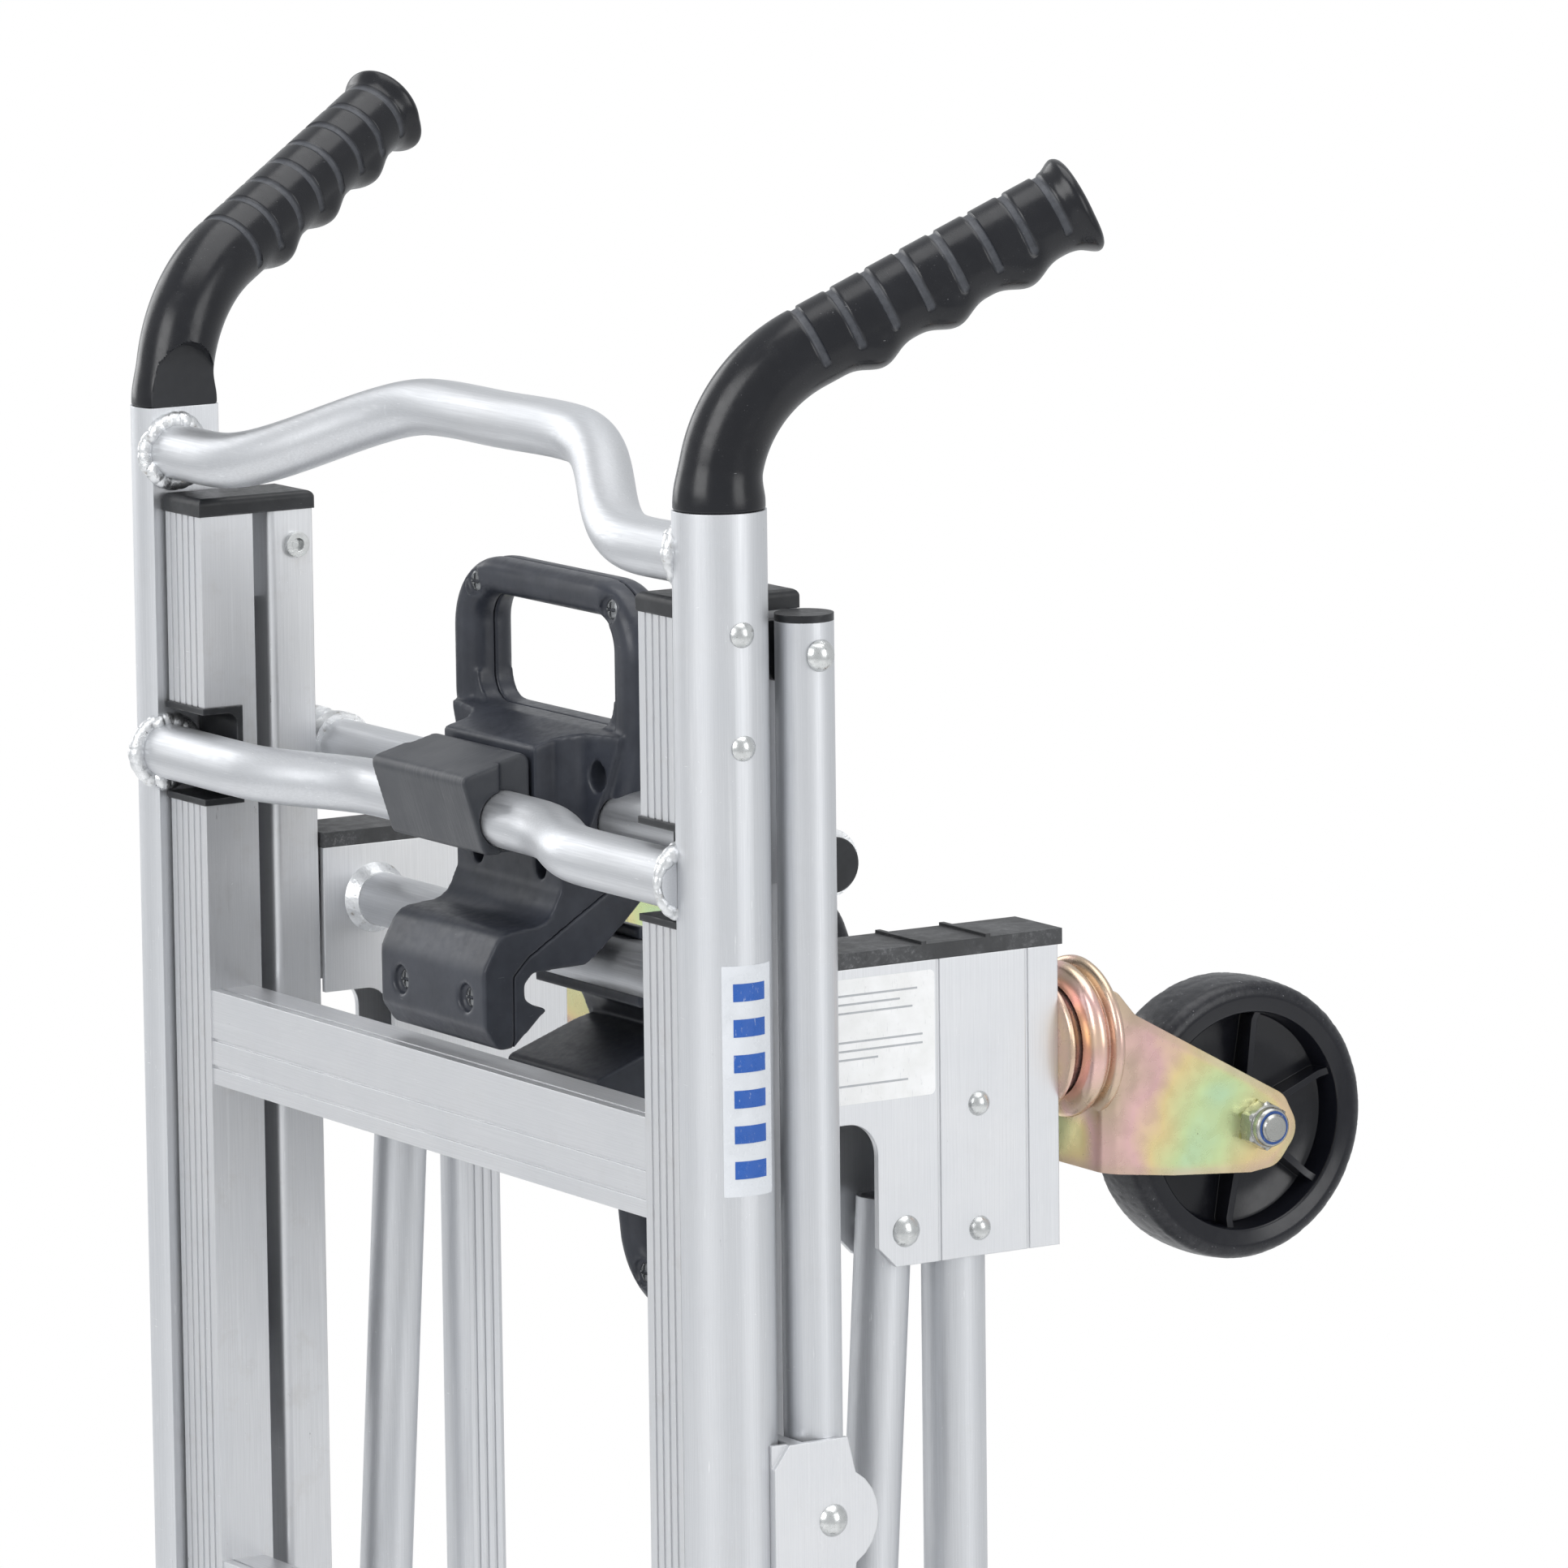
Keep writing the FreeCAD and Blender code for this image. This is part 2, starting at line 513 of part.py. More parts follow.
def slide_shoes():
    """Round nylon button that runs in the groove of the rail's outer face."""
    button = rod("x", (RAIL_OUT - 2.3, FOLD_LINE_Y, FOLD_LOW_Z), 3.6, 4.3)
    collar = rod("x", (RAIL_OUT + 1.3, FOLD_LINE_Y, FOLD_LOW_Z), 186.0 - RAIL_OUT - 1.3, 6.5)
    stem = rod("x", (186.0, FOLD_LINE_Y, FOLD_LOW_Z), 16, 3.5)
    return both_sides([fused([button, collar, stem])])


def latch_saddle():
    """Wedge block clamped round the middle of the lower crossbar."""
    outline = [(0.0, 976.0), (29.0, 983.5), (29.0, 955.0), (23.0, 948.0), (9.0, 948.0)]
    wedge = prism_x(outline, -WEDGE_HALF_WIDTH, WEDGE_HALF_WIDTH)
    wedge = rounded(wedge, 1.5, lambda c: c.y < 20)
    return wedge.cut(lower_crossbar())


# ---- upper latch ----
def latch_width(low, narrow_top, wide_top, high):
    """Front view of a latch: a narrow body that widens into the loop, between two heights."""
    turn = 1 if high > low else -1
    half = [(LATCH_HALF_WIDTH, low), (LATCH_HALF_WIDTH, narrow_top), (LOOP_HALF_WIDTH, wide_top),
            (LOOP_HALF_WIDTH, high - turn * 13), (LOOP_HALF_WIDTH - 4, high - turn * 4),
            (LOOP_HALF_WIDTH - 13, high)]
    return half + [(-x, z) for x, z in reversed(half)]


def latch_opening(low, high):
    opening = box(-LOOP_OPENING_HALF, LOOP_OPENING_HALF, 30, 150, low, high)
    return rounded(opening, 10.0, lambda c: abs(abs(c.x) - LOOP_OPENING_HALF) < 0.1 and abs(c.y - 90) < 1)


def upper_latch_body():
    outline = [(51, 1045.7), (70, 1045.7), (70, 990), (78, 976), (80, 962), (80, 938), (69.4, 926),
               (53.6, 911.5), (46.9, 906.4), (24.8, 905.8), (22, 903), (22.5, 898.4), (26.8, 893.6),
               (31.5, 893), (16.6, 880), (11.3, 879.6), (6.6, 891), (6, 902.6), (7.5, 910), (12, 917.5),
               (20, 923.5), (32.3, 927), (36.8, 934.5), (37, 941), (33, 947), (32, 984), (51, 989)]
    body = prism_x(outline, -LOOP_HALF_WIDTH, LOOP_HALF_WIDTH)
    body = body.common(prism_y(latch_width(870, 945, 990, 1045.7), 0, 90))
    bore = rod("x", (-70, REAR_BAR_Y, LOWER_BAR_Z), 140, REAR_BAR_RADIUS + RUNNING_GAP)
    return cut_all(body, [latch_opening(990, 1028.5), bore])


def screw_set(places, head_y, length):
    """Screws driven rearward along Y, with their heads' faces at head_y."""
    return [rod("y", (x, head_y, z), 2.5, SCREW_HEAD_RADIUS).fuse(rod("y", (x, head_y, z), length, 1.8))
            for x, z in places]


def upper_latch():
    body = upper_latch_body()
    before_seam = prism_x([(-10, 860), (17, 860), (18, 905), (23, 911), (60, 934), (60, 1060), (-10, 1060)],
                          -70, 70)
    screws = screw_set(LOOP_SCREWS, 51.5, 14.0) + screw_set(NOSE_SCREWS, 7.0, 7.0)
    front = cut_all(body.common(before_seam), screws)
    rear = cut_all(body.cut(before_seam), screws)
    return front, rear, screws


# ---- caster frame ----
def caster_bracket():
    x0 = CASTER_X - BRACKET_HALF_WIDTH
    x1 = CASTER_X + BRACKET_HALF_WIDTH
    wall = 2.5
    shell = box(x0, x1, BRACKET_FRONT_Y, BRACKET_REAR_Y, BRACKET_BOTTOM, BRACKET_TOP)
    shell = shell.cut(box(x0 + wall, x1 - wall, BRACKET_FRONT_Y, BRACKET_REAR_Y - wall,
                          BRACKET_BOTTOM, BRACKET_TOP))
    ear_bottom = 870.0
    arc = 12.0
    step_y = 75.7
    cutout = fused([box(x0 - 1, x1 + 1, BRACKET_FRONT_Y - 1, step_y, BRACKET_BOTTOM - 1, ear_bottom - arc),
                    box(x0 - 1, x1 + 1, BRACKET_FRONT_Y - 1, step_y - arc, ear_bottom - arc, ear_bottom),
                    rod("x", (x0 - 1, step_y - arc, ear_bottom - arc), x1 - x0 + 2, arc)])
    chamfer = prism_x([(step_y - 1, BRACKET_BOTTOM - 1), (step_y + 8, BRACKET_BOTTOM - 1),
                       (step_y - 1, BRACKET_BOTTOM + 8)], x0 - 1, x1 + 1)
    grooves = [box(x1 - 0.5, x1, y, y + 1.2, BRACKET_BOTTOM, BRACKET_TOP) for y in (100.0, 136.0)]
    holes = [rod("x", (x0 - 1, y, z), 2 * BRACKET_HALF_WIDTH + 2, PIVOT_RADIUS)
             for y, z in (STRUT_PIVOT,) + FRAME_RIVETS]
    mount_hole = rod("y", (CASTER_X, BRACKET_REAR_Y - 5, SWIVEL_Z), 8, 5.0)
    return cut_all(shell, [cutout, chamfer, mount_hole] + grooves + holes)


def caster_bracket_pins():
    face_x = CASTER_X + BRACKET_HALF_WIDTH
    length = 2 * BRACKET_HALF_WIDTH
    pins = []
    for (y, z), head_radius in ((STRUT_PIVOT, 5.5), (FRAME_RIVETS[0], 4.3), (FRAME_RIVETS[1], 4.3)):
        pins.append(dome_rivet(face_x, y, z, head_radius, 3.0, PIVOT_RADIUS, length))
        pins.append(rod("x", (face_x - length - 1.5, y, z), 1.5, 5.0))
    return both_sides(pins)


def bracket_pad():
    x0 = CASTER_X - BRACKET_HALF_WIDTH
    x1 = CASTER_X + BRACKET_HALF_WIDTH
    base = box(x0, x1, BRACKET_FRONT_Y, BRACKET_REAR_Y + 2, BRACKET_TOP, BRACKET_TOP + 5.5)
    ridges = [box(x0, x1, y, y + 2.0, BRACKET_TOP + 5.5, BRACKET_TOP + 6.6) for y in (94.0, 120.0)]
    return fused([base] + ridges)


def caster_frame_tube():
    radius = 11.0
    low = 176.0
    high = BRACKET_TOP - 14
    flat = CASTER_X - 9.0
    body = rod("z", (CASTER_X, CASTER_TUBE_Y, low), high - low, radius)
    body = body.cut(box(CASTER_X - 20, flat, CASTER_TUBE_Y - 15, CASTER_TUBE_Y + 15, low, high))
    for k in range(3):
        groove_y = CASTER_TUBE_Y - 4.4 + k * 3.6
        body = body.cut(box(flat, flat + 0.6, groove_y, groove_y + 1.2, low, high))
    bore = rod("z", (CASTER_X, CASTER_TUBE_Y, low), high - low, CASTER_TUBE_BORE)
    holes = [rod("x", (140, y, z), 50, PIVOT_RADIUS) for y, z in FRAME_RIVETS]
    return cut_all(body.cut(bore), holes)


def caster_crossbar():
    half = CASTER_X - BRACKET_HALF_WIDTH
    return tube("x", (-half, CASTER_BAR_Y, CASTER_BAR_Z), 2 * half, CASTER_BAR_RADIUS, CASTER_BAR_RADIUS - 2)


def caster_crossbar_welds():
    face = CASTER_X - BRACKET_HALF_WIDTH
    cone = Part.makeCone(CASTER_BAR_RADIUS + 0.4, CASTER_BAR_RADIUS + 3.2, 5.0,
                         V(face - 5.0, CASTER_BAR_Y, CASTER_BAR_Z), V(1, 0, 0))
    return both_sides([cone.cut(rod("x", (face - 6, CASTER_BAR_Y, CASTER_BAR_Z), 8, CASTER_BAR_RADIUS))])


def caster_frame_lug():
    """Foot casting of the caster frame that turns on the main axle."""
    x0 = CASTER_X - 6.5
    x1 = CASTER_X + 6.5
    arm = prism_x([(CASTER_TUBE_Y - 11, 176), (CASTER_TUBE_Y + 11, 176), (AXLE_Y + 8, AXLE_Z + 15),
                   (AXLE_Y + 16, AXLE_Z), (AXLE_Y, AXLE_Z - 16), (AXLE_Y - 16, AXLE_Z),
                   (CASTER_TUBE_Y - 11, 162)], x0, x1)
    hub = rod("x", (x0, AXLE_Y, AXLE_Z), x1 - x0, 18)
    spigot = rod("z", (CASTER_X, CASTER_TUBE_Y, 176), 34, CASTER_TUBE_BORE)
    return fused([arm, hub, spigot]).cut(rod("x", (x0 - 1, AXLE_Y, AXLE_Z), x1 - x0 + 2,
                                             AXLE_RADIUS + RUNNING_GAP))


def caster_raceway():
    """Fixed half of the swivel: base plate, raceway ring and kingpin."""
    y0 = BRACKET_REAR_Y
    base = rod("y", (CASTER_X, y0, SWIVEL_Z), 3.0, 26.0)
    ring = Part.makeCone(25.0, 21.0, 3.5, V(CASTER_X, y0 + 3.0, SWIVEL_Z), V(0, 1, 0))
    kingpin = rod("y", (CASTER_X, y0 + 6.5, SWIVEL_Z), 15.0, KINGPIN_RADIUS)
    stud = rod("y", (CASTER_X, y0 - 6.0, SWIVEL_Z), 6.0, 5.0)
    nut = tube("y", (CASTER_X, y0 - 2.5 - 5.0, SWIVEL_Z), 5.0, 8.0, 5.0)
    return fused([base, ring, kingpin, stud, nut])


# ---- struts ----
def strut():
    """Upright strut hung from the bracket; its tongue's foot runs in the rail's rear channel."""
    tongue = 100.0
    top = STRUT_PIVOT_Z + 10
    foot = STRUT_PIVOT_Z - STRUT_LENGTH
    body = tube("z", (CASTER_X, STRUT_PIVOT_Y, foot + tongue), top - foot - tongue,
                STRUT_RADIUS, STRUT_RADIUS - 1.8)
    hole = rod("x", (CASTER_X - 15, STRUT_PIVOT_Y, STRUT_PIVOT_Z), 30, PIVOT_RADIUS + RUNNING_GAP)
    plug = rod("z", (CASTER_X, STRUT_PIVOT_Y, foot + tongue), 25, STRUT_RADIUS - 1.8)
    blade = box(CASTER_X - 3, CASTER_X + 3, STRUT_PIVOT_Y - 4.5, STRUT_PIVOT_Y + 4.5, foot, foot + tongue)
    toe = rod("x", (CASTER_X - 7, STRUT_PIVOT_Y, foot), 14, 4.5)
    whole = fused([body.cut(hole), plug, blade, toe])
    whole.rotate(V(0, STRUT_PIVOT_Y, STRUT_PIVOT_Z), V(1, 0, 0), -STRUT_LEAN)
    return whole


# ---- lower latch ----
def lower_latch():
    collar = rod("x", (-LATCH_HALF_WIDTH, CASTER_BAR_Y, CASTER_BAR_Z), 2 * LATCH_HALF_WIDTH, 14.5)
    wedge = prism_x([(36, 862), (56, 875.5), (60, 890), (80, 894), (84, 880), (64, 852), (42, 852)],
                    -WEDGE_HALF_WIDTH, WEDGE_HALF_WIDTH)
    outline = [(60, 880), (83, 898), (95, 885), (126, 838), (133, 815), (138, 757), (119, 757), (113, 815),
               (84, 848), (62, 856)]
    arm = prism_x(outline, -LOOP_HALF_WIDTH, LOOP_HALF_WIDTH)
    arm = arm.common(prism_y(latch_width(900, 852, 815, 757), 50, 150))
    body = fused([collar, wedge, arm.cut(latch_opening(774, 813))])
    body = body.cut(rod("x", (-70, CASTER_BAR_Y, CASTER_BAR_Z), 140, CASTER_BAR_RADIUS + RUNNING_GAP))
    before_seam = prism_x([(20, 740), (128, 740), (123, 815), (100, 850), (80, 930), (20, 930)], -70, 70)
    screws = screw_set(TAIL_SCREWS, 114.8, 19.0)
    front = cut_all(body.common(before_seam), screws)
    rear = cut_all(body.cut(before_seam), screws)
    return front, rear, screws


# ---- casters ----
def caster_fork():
    """Swivelling half of a caster: crown, two tapered legs and the axle's seats."""
    y0 = BRACKET_REAR_Y + 7.0
    plate_y = y0 + 9.0
    plate_rear = y0 + 12.0
    crown_radius = 28.0
    bore = rod("y", (CASTER_X, y0 - 1, SWIVEL_Z), 30, KINGPIN_RADIUS + RUNNING_GAP)
    crown = rod("y", (CASTER_X, y0, SWIVEL_Z), plate_rear - y0, crown_radius)
    crown = crown.cut(rod("y", (CASTER_X, y0 - 1, SWIVEL_Z), 2.0, crown_radius - 2.6))
    leg_outline = [(plate_y, SWIVEL_Z + 20), (plate_y + 5, SWIVEL_Z + 18), (plate_y + 12.5, SWIVEL_Z + 9),
                   (CASTER_AXLE_Y + 11, CASTER_AXLE_Z + 8.6), (CASTER_AXLE_Y + 16, CASTER_AXLE_Z - 3),
                   (CASTER_AXLE_Y + 8, CASTER_AXLE_Z - 14.5), (CASTER_AXLE_Y - 3, CASTER_AXLE_Z - 16.5),
                   (plate_y, SWIVEL_Z - 45)]
    legs = [prism_x(leg_outline, CASTER_X + side * FORK_LEG_X - 1.5, CASTER_X + side * FORK_LEG_X + 1.5)
            for side in (-1, 1)]
    bridge = box(CASTER_X - FORK_LEG_X, CASTER_X + FORK_LEG_X, plate_y, plate_rear,
                 SWIVEL_Z - 24, SWIVEL_Z + 20)
    axle_hole = rod("x", (CASTER_X - 25, CASTER_AXLE_Y, CASTER_AXLE_Z), 50, CASTER_BOLT_RADIUS)
    return cut_all(fused([crown, bridge] + legs), [bore, axle_hole])


def caster_axle():
    face = FORK_LEG_X + 1.5
    across_flats = 15.0
    bolt = rod("x", (CASTER_X - face, CASTER_AXLE_Y, CASTER_AXLE_Z), 2 * face + 8, CASTER_BOLT_RADIUS)
    head = hexagon(CASTER_X - face - 6, CASTER_AXLE_Y, CASTER_AXLE_Z, across_flats, 6.0)
    nut = hexagon(CASTER_X + face, CASTER_AXLE_Y, CASTER_AXLE_Z, across_flats, 6.5)
    collar = rod("x", (CASTER_X + face + 6.5, CASTER_AXLE_Y, CASTER_AXLE_Z), 2.5, 6.3)
    return fused([bolt, head, nut, collar])


def caster_wheel():
    half = CASTER_WHEEL_HALF
    centre = V(CASTER_X - half, CASTER_AXLE_Y, CASTER_AXLE_Z)
    tread = rod("x", centre, 2 * half, CASTER_WHEEL_RADIUS)
    tread = rounded(tread, 5.0, lambda c: True)
    rim_inner = 38.0
    well = rod("x", (CASTER_X + 2.0, CASTER_AXLE_Y, CASTER_AXLE_Z), half, rim_inner)
    wells = [well, rod("x", (CASTER_X - half - 2, CASTER_AXLE_Y, CASTER_AXLE_Z), half, rim_inner)]
    wheel = cut_all(tread, wells)
    hub = rod("x", (CASTER_X - half + 0.5, CASTER_AXLE_Y, CASTER_AXLE_Z), 2 * half - 1, 11.0)
    ribs = []
    for k in range(5):
        rib = box(CASTER_X - half + 3, CASTER_X + half - 3, CASTER_AXLE_Y + 8, CASTER_AXLE_Y + rim_inner + 2,
                  CASTER_AXLE_Z - 1.5, CASTER_AXLE_Z + 1.5)
        rib.rotate(V(0, CASTER_AXLE_Y, CASTER_AXLE_Z), V(1, 0, 0), 360 / CASTER_RIBS * k + 21)
        ribs.append(rib)
    bore = rod("x", (CASTER_X - 20, CASTER_AXLE_Y, CASTER_AXLE_Z), 40, CASTER_BOLT_RADIUS + RUNNING_GAP)
    return fused([wheel, hub] + ribs).cut(bore)


# ---- main wheels ----
def turned_about_axle(outline):
    """Solid of revolution about the main axle from (x, radius) points."""
    corners = [V(x, AXLE_Y, AXLE_Z + radius) for x, radius in outline]
    face = Part.Face(Part.makePolygon(corners + corners[:1]))
    return face.revolve(V(0, AXLE_Y, AXLE_Z), V(1, 0, 0), 360)


def main_tyre():
    outline = []
    for k in range(13):
        angle = math.radians(180 * k / 12)
        outline.append((MAIN_WHEEL_X - TYRE_HALF * math.cos(angle), 92 + 35 * math.sin(angle)))
    outline += [(MAIN_WHEEL_X + 28.5, 72), (MAIN_WHEEL_X + 26, 72), (MAIN_WHEEL_X + 26, 66),
                (MAIN_WHEEL_X - 26, 66), (MAIN_WHEEL_X - 26, 72), (MAIN_WHEEL_X - 28.5, 72)]
    tyre = turned_about_axle(outline)
    for x in (-12, 0, 12):
        groove = turned_about_axle([(MAIN_WHEEL_X + x - 1.5, 122.5), (MAIN_WHEEL_X + x + 1.5, 122.5),
                                    (MAIN_WHEEL_X + x + 1.5, 130), (MAIN_WHEEL_X + x - 1.5, 130)])
        tyre = tyre.cut(groove)
    return tyre


def main_wheel_rim():
    outline = [(MAIN_WHEEL_X - 28, 72), (MAIN_WHEEL_X - 26, 72), (MAIN_WHEEL_X - 26, 66),
               (MAIN_WHEEL_X + 26, 66), (MAIN_WHEEL_X + 26, 72), (MAIN_WHEEL_X + 28, 72),
               (MAIN_WHEEL_X + 28, 63), (MAIN_WHEEL_X + 3, 60), (MAIN_WHEEL_X + 3, 20),
               (MAIN_WHEEL_X - 3, 20), (MAIN_WHEEL_X - 3, 60), (MAIN_WHEEL_X - 28, 63)]
    rim = turned_about_axle(outline)
    for k in range(5):
        angle = math.radians(72 * k + 90)
        centre = (MAIN_WHEEL_X - 10, AXLE_Y + 40 * math.cos(angle), AXLE_Z + 40 * math.sin(angle))
        hole = rod("x", centre, 20, 9)
        rim = rim.cut(hole)
    return rim.fuse(tube("x", (MAIN_WHEEL_X - 36.5, AXLE_Y, AXLE_Z), 73, 20.0, 15.0))


def main_wheel_bearings():
    return [tube("x", (x, AXLE_Y, AXLE_Z), 12, 15.0, AXLE_RADIUS + RUNNING_GAP)
            for x in (MAIN_WHEEL_X - 36.5, MAIN_WHEEL_X + 24.5)]


# ---- write every node ----
os.makedirs("parts", exist_ok=True)

export_pair("rail", rail())
export("rail_caps", both_sides([rail_cap()]))
export("notch_liners", both_sides([notch_liner()]))
export("cross_members", [cross_member(top) for top in CROSS_MEMBER_TOPS])
export("rear_crossbar", rear_crossbar())
export("rear_crossbar_welds", rear_crossbar_welds())
export("rear_crossbar_plugs", rear_crossbar_plugs())
export("brace_pivot_blocks", both_sides([brace_pivot_block()]))
export("brace_pivot_bolts", brace_pivot_bolts())
export("toe_plate", toe_plate())
export("toe_plate_rivets", toe_plate_rivets())
export("axle_brackets", both_sides([axle_bracket()]))
export("main_axle", main_axle())
export("axle_spacers", axle_spacers())

export_pair("brace", brace())
export("brace_end_plugs", brace_end_plugs())
export_pair("handle_tube", handle_tube())
export("handle_rivets", handle_rivets())
export_pair("grip", grip())
export("top_grab_bar", hollowed(top_grab_bar))
export("lower_crossbar", hollowed(lower_crossbar))
export("handle_welds", handle_welds())
export("brace_brackets", both_sides([brace_bracket()]))
export("brace_lower_pins", brace_lower_pins())
export("slide_blocks", both_sides([slide_bracket()]))
export("slide_shoes", slide_shoes())
export("latch_saddle", latch_saddle())

upper_front, upper_rear, upper_screws = upper_latch()
export("upper_latch_front_shell", upper_front)
export("upper_latch_rear_shell", upper_rear)
export("upper_latch_screws", upper_screws)

export_pair("caster_bracket", caster_bracket())
export("caster_bracket_pins", caster_bracket_pins())
export("bracket_pads", both_sides([bracket_pad()]))
export("caster_frame_tubes", both_sides([caster_frame_tube()]))
export("caster_crossbar", caster_crossbar())
export("caster_crossbar_welds", caster_crossbar_welds())
export("caster_frame_lugs", both_sides([caster_frame_lug()]))
export("caster_raceways", both_sides([caster_raceway()]))
export("strut_pair", both_sides([strut()]))

lower_front, lower_rear, lower_screws = lower_latch()
export("lower_latch_front_shell", lower_front)
export("lower_latch_rear_shell", lower_rear)
export("lower_latch_screws", lower_screws)

export_pair("caster_fork", caster_fork())
export_pair("caster_axle", caster_axle())
export_pair("caster_wheel", caster_wheel())
export_pair("main_tyre", main_tyre())
export_pair("main_wheel_rim", main_wheel_rim())
export("main_wheel_bearings_right", main_wheel_bearings())
export("main_wheel_bearings_left", [mirrored(shape) for shape in main_wheel_bearings()])
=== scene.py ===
import math
import random

import bmesh
import bpy
from mathutils import Matrix, Vector, noise


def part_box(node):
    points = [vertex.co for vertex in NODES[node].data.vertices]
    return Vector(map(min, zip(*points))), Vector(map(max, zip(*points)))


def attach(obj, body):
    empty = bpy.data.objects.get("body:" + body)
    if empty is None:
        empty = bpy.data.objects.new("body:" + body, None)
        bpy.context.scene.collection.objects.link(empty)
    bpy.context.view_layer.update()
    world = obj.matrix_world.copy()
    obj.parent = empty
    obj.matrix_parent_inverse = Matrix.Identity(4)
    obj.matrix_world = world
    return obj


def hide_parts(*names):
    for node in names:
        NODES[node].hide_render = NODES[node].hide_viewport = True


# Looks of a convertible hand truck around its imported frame.
# Lengths in this script are millimetres; pieces are scaled to metres when they are made.
# X runs across, Y runs rearward to the operator, Z is up.

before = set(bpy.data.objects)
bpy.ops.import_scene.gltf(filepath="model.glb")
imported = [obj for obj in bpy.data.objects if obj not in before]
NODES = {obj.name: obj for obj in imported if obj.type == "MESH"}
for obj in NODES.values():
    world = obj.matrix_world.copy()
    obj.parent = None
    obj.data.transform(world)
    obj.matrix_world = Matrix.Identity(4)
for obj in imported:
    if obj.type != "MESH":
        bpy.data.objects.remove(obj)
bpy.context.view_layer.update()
METRE = 0.001
SIDES = (("right", 1), ("left", -1))


def frame_box(node):
    """Lowest and highest corner of a CAD node, in millimetres."""
    low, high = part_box(node)
    return low / METRE, high / METRE


def middle(node):
    low, high = frame_box(node)
    return (low + high) / 2


# ---- places taken from the frame ----
GRIP_LOW = frame_box("grip_right")[0]
REAR_BAR = middle("rear_crossbar")
CASTER_BAR = middle("caster_crossbar")
BRACKET_HIGH = frame_box("caster_bracket_right")[1]
CASTER_WHEEL_LOW, CASTER_WHEEL_HIGH = frame_box("caster_wheel_right")
CASTER_WHEEL_MIDDLE = middle("caster_wheel_right")
TYRE_LOW, TYRE_HIGH = frame_box("main_tyre_right")
TYRE_MIDDLE = middle("main_tyre_right")

HANDLE_RADIUS = 15.9
HANDLE_FLAT = 179.0
HANDLE_X = 187.0
HANDLE_Y = 10.0
BAR_RADIUS = 10.0
BEND_Z = 1122.4
BEND_RADIUS = 53.6
GRIP_DIRECTION = Vector((0.312, 0.838, 0.447)).normalized()
GRIP_REACH = 138.0
REAR_BAR_RADIUS = 9.5
CASTER_BAR_RADIUS = 9.75
GRAB_BAR_END = (5.0, 1069.0)
LOWER_BAR_END = (-1.0, 960.0)
LOWER_BAR_PLACE = (17.5, 960.0)


# ---- node materials ----
class Signal:
    """A number that varies over a surface; arithmetic on it adds maths nodes to its look."""

    def __init__(self, look, socket):
        self.look = look
        self.socket = socket

    def __add__(self, other):
        return self.look.maths("ADD", self, other)

    def __sub__(self, other):
        return self.look.maths("SUBTRACT", self, other)

    def __mul__(self, other):
        return self.look.maths("MULTIPLY", self, other)


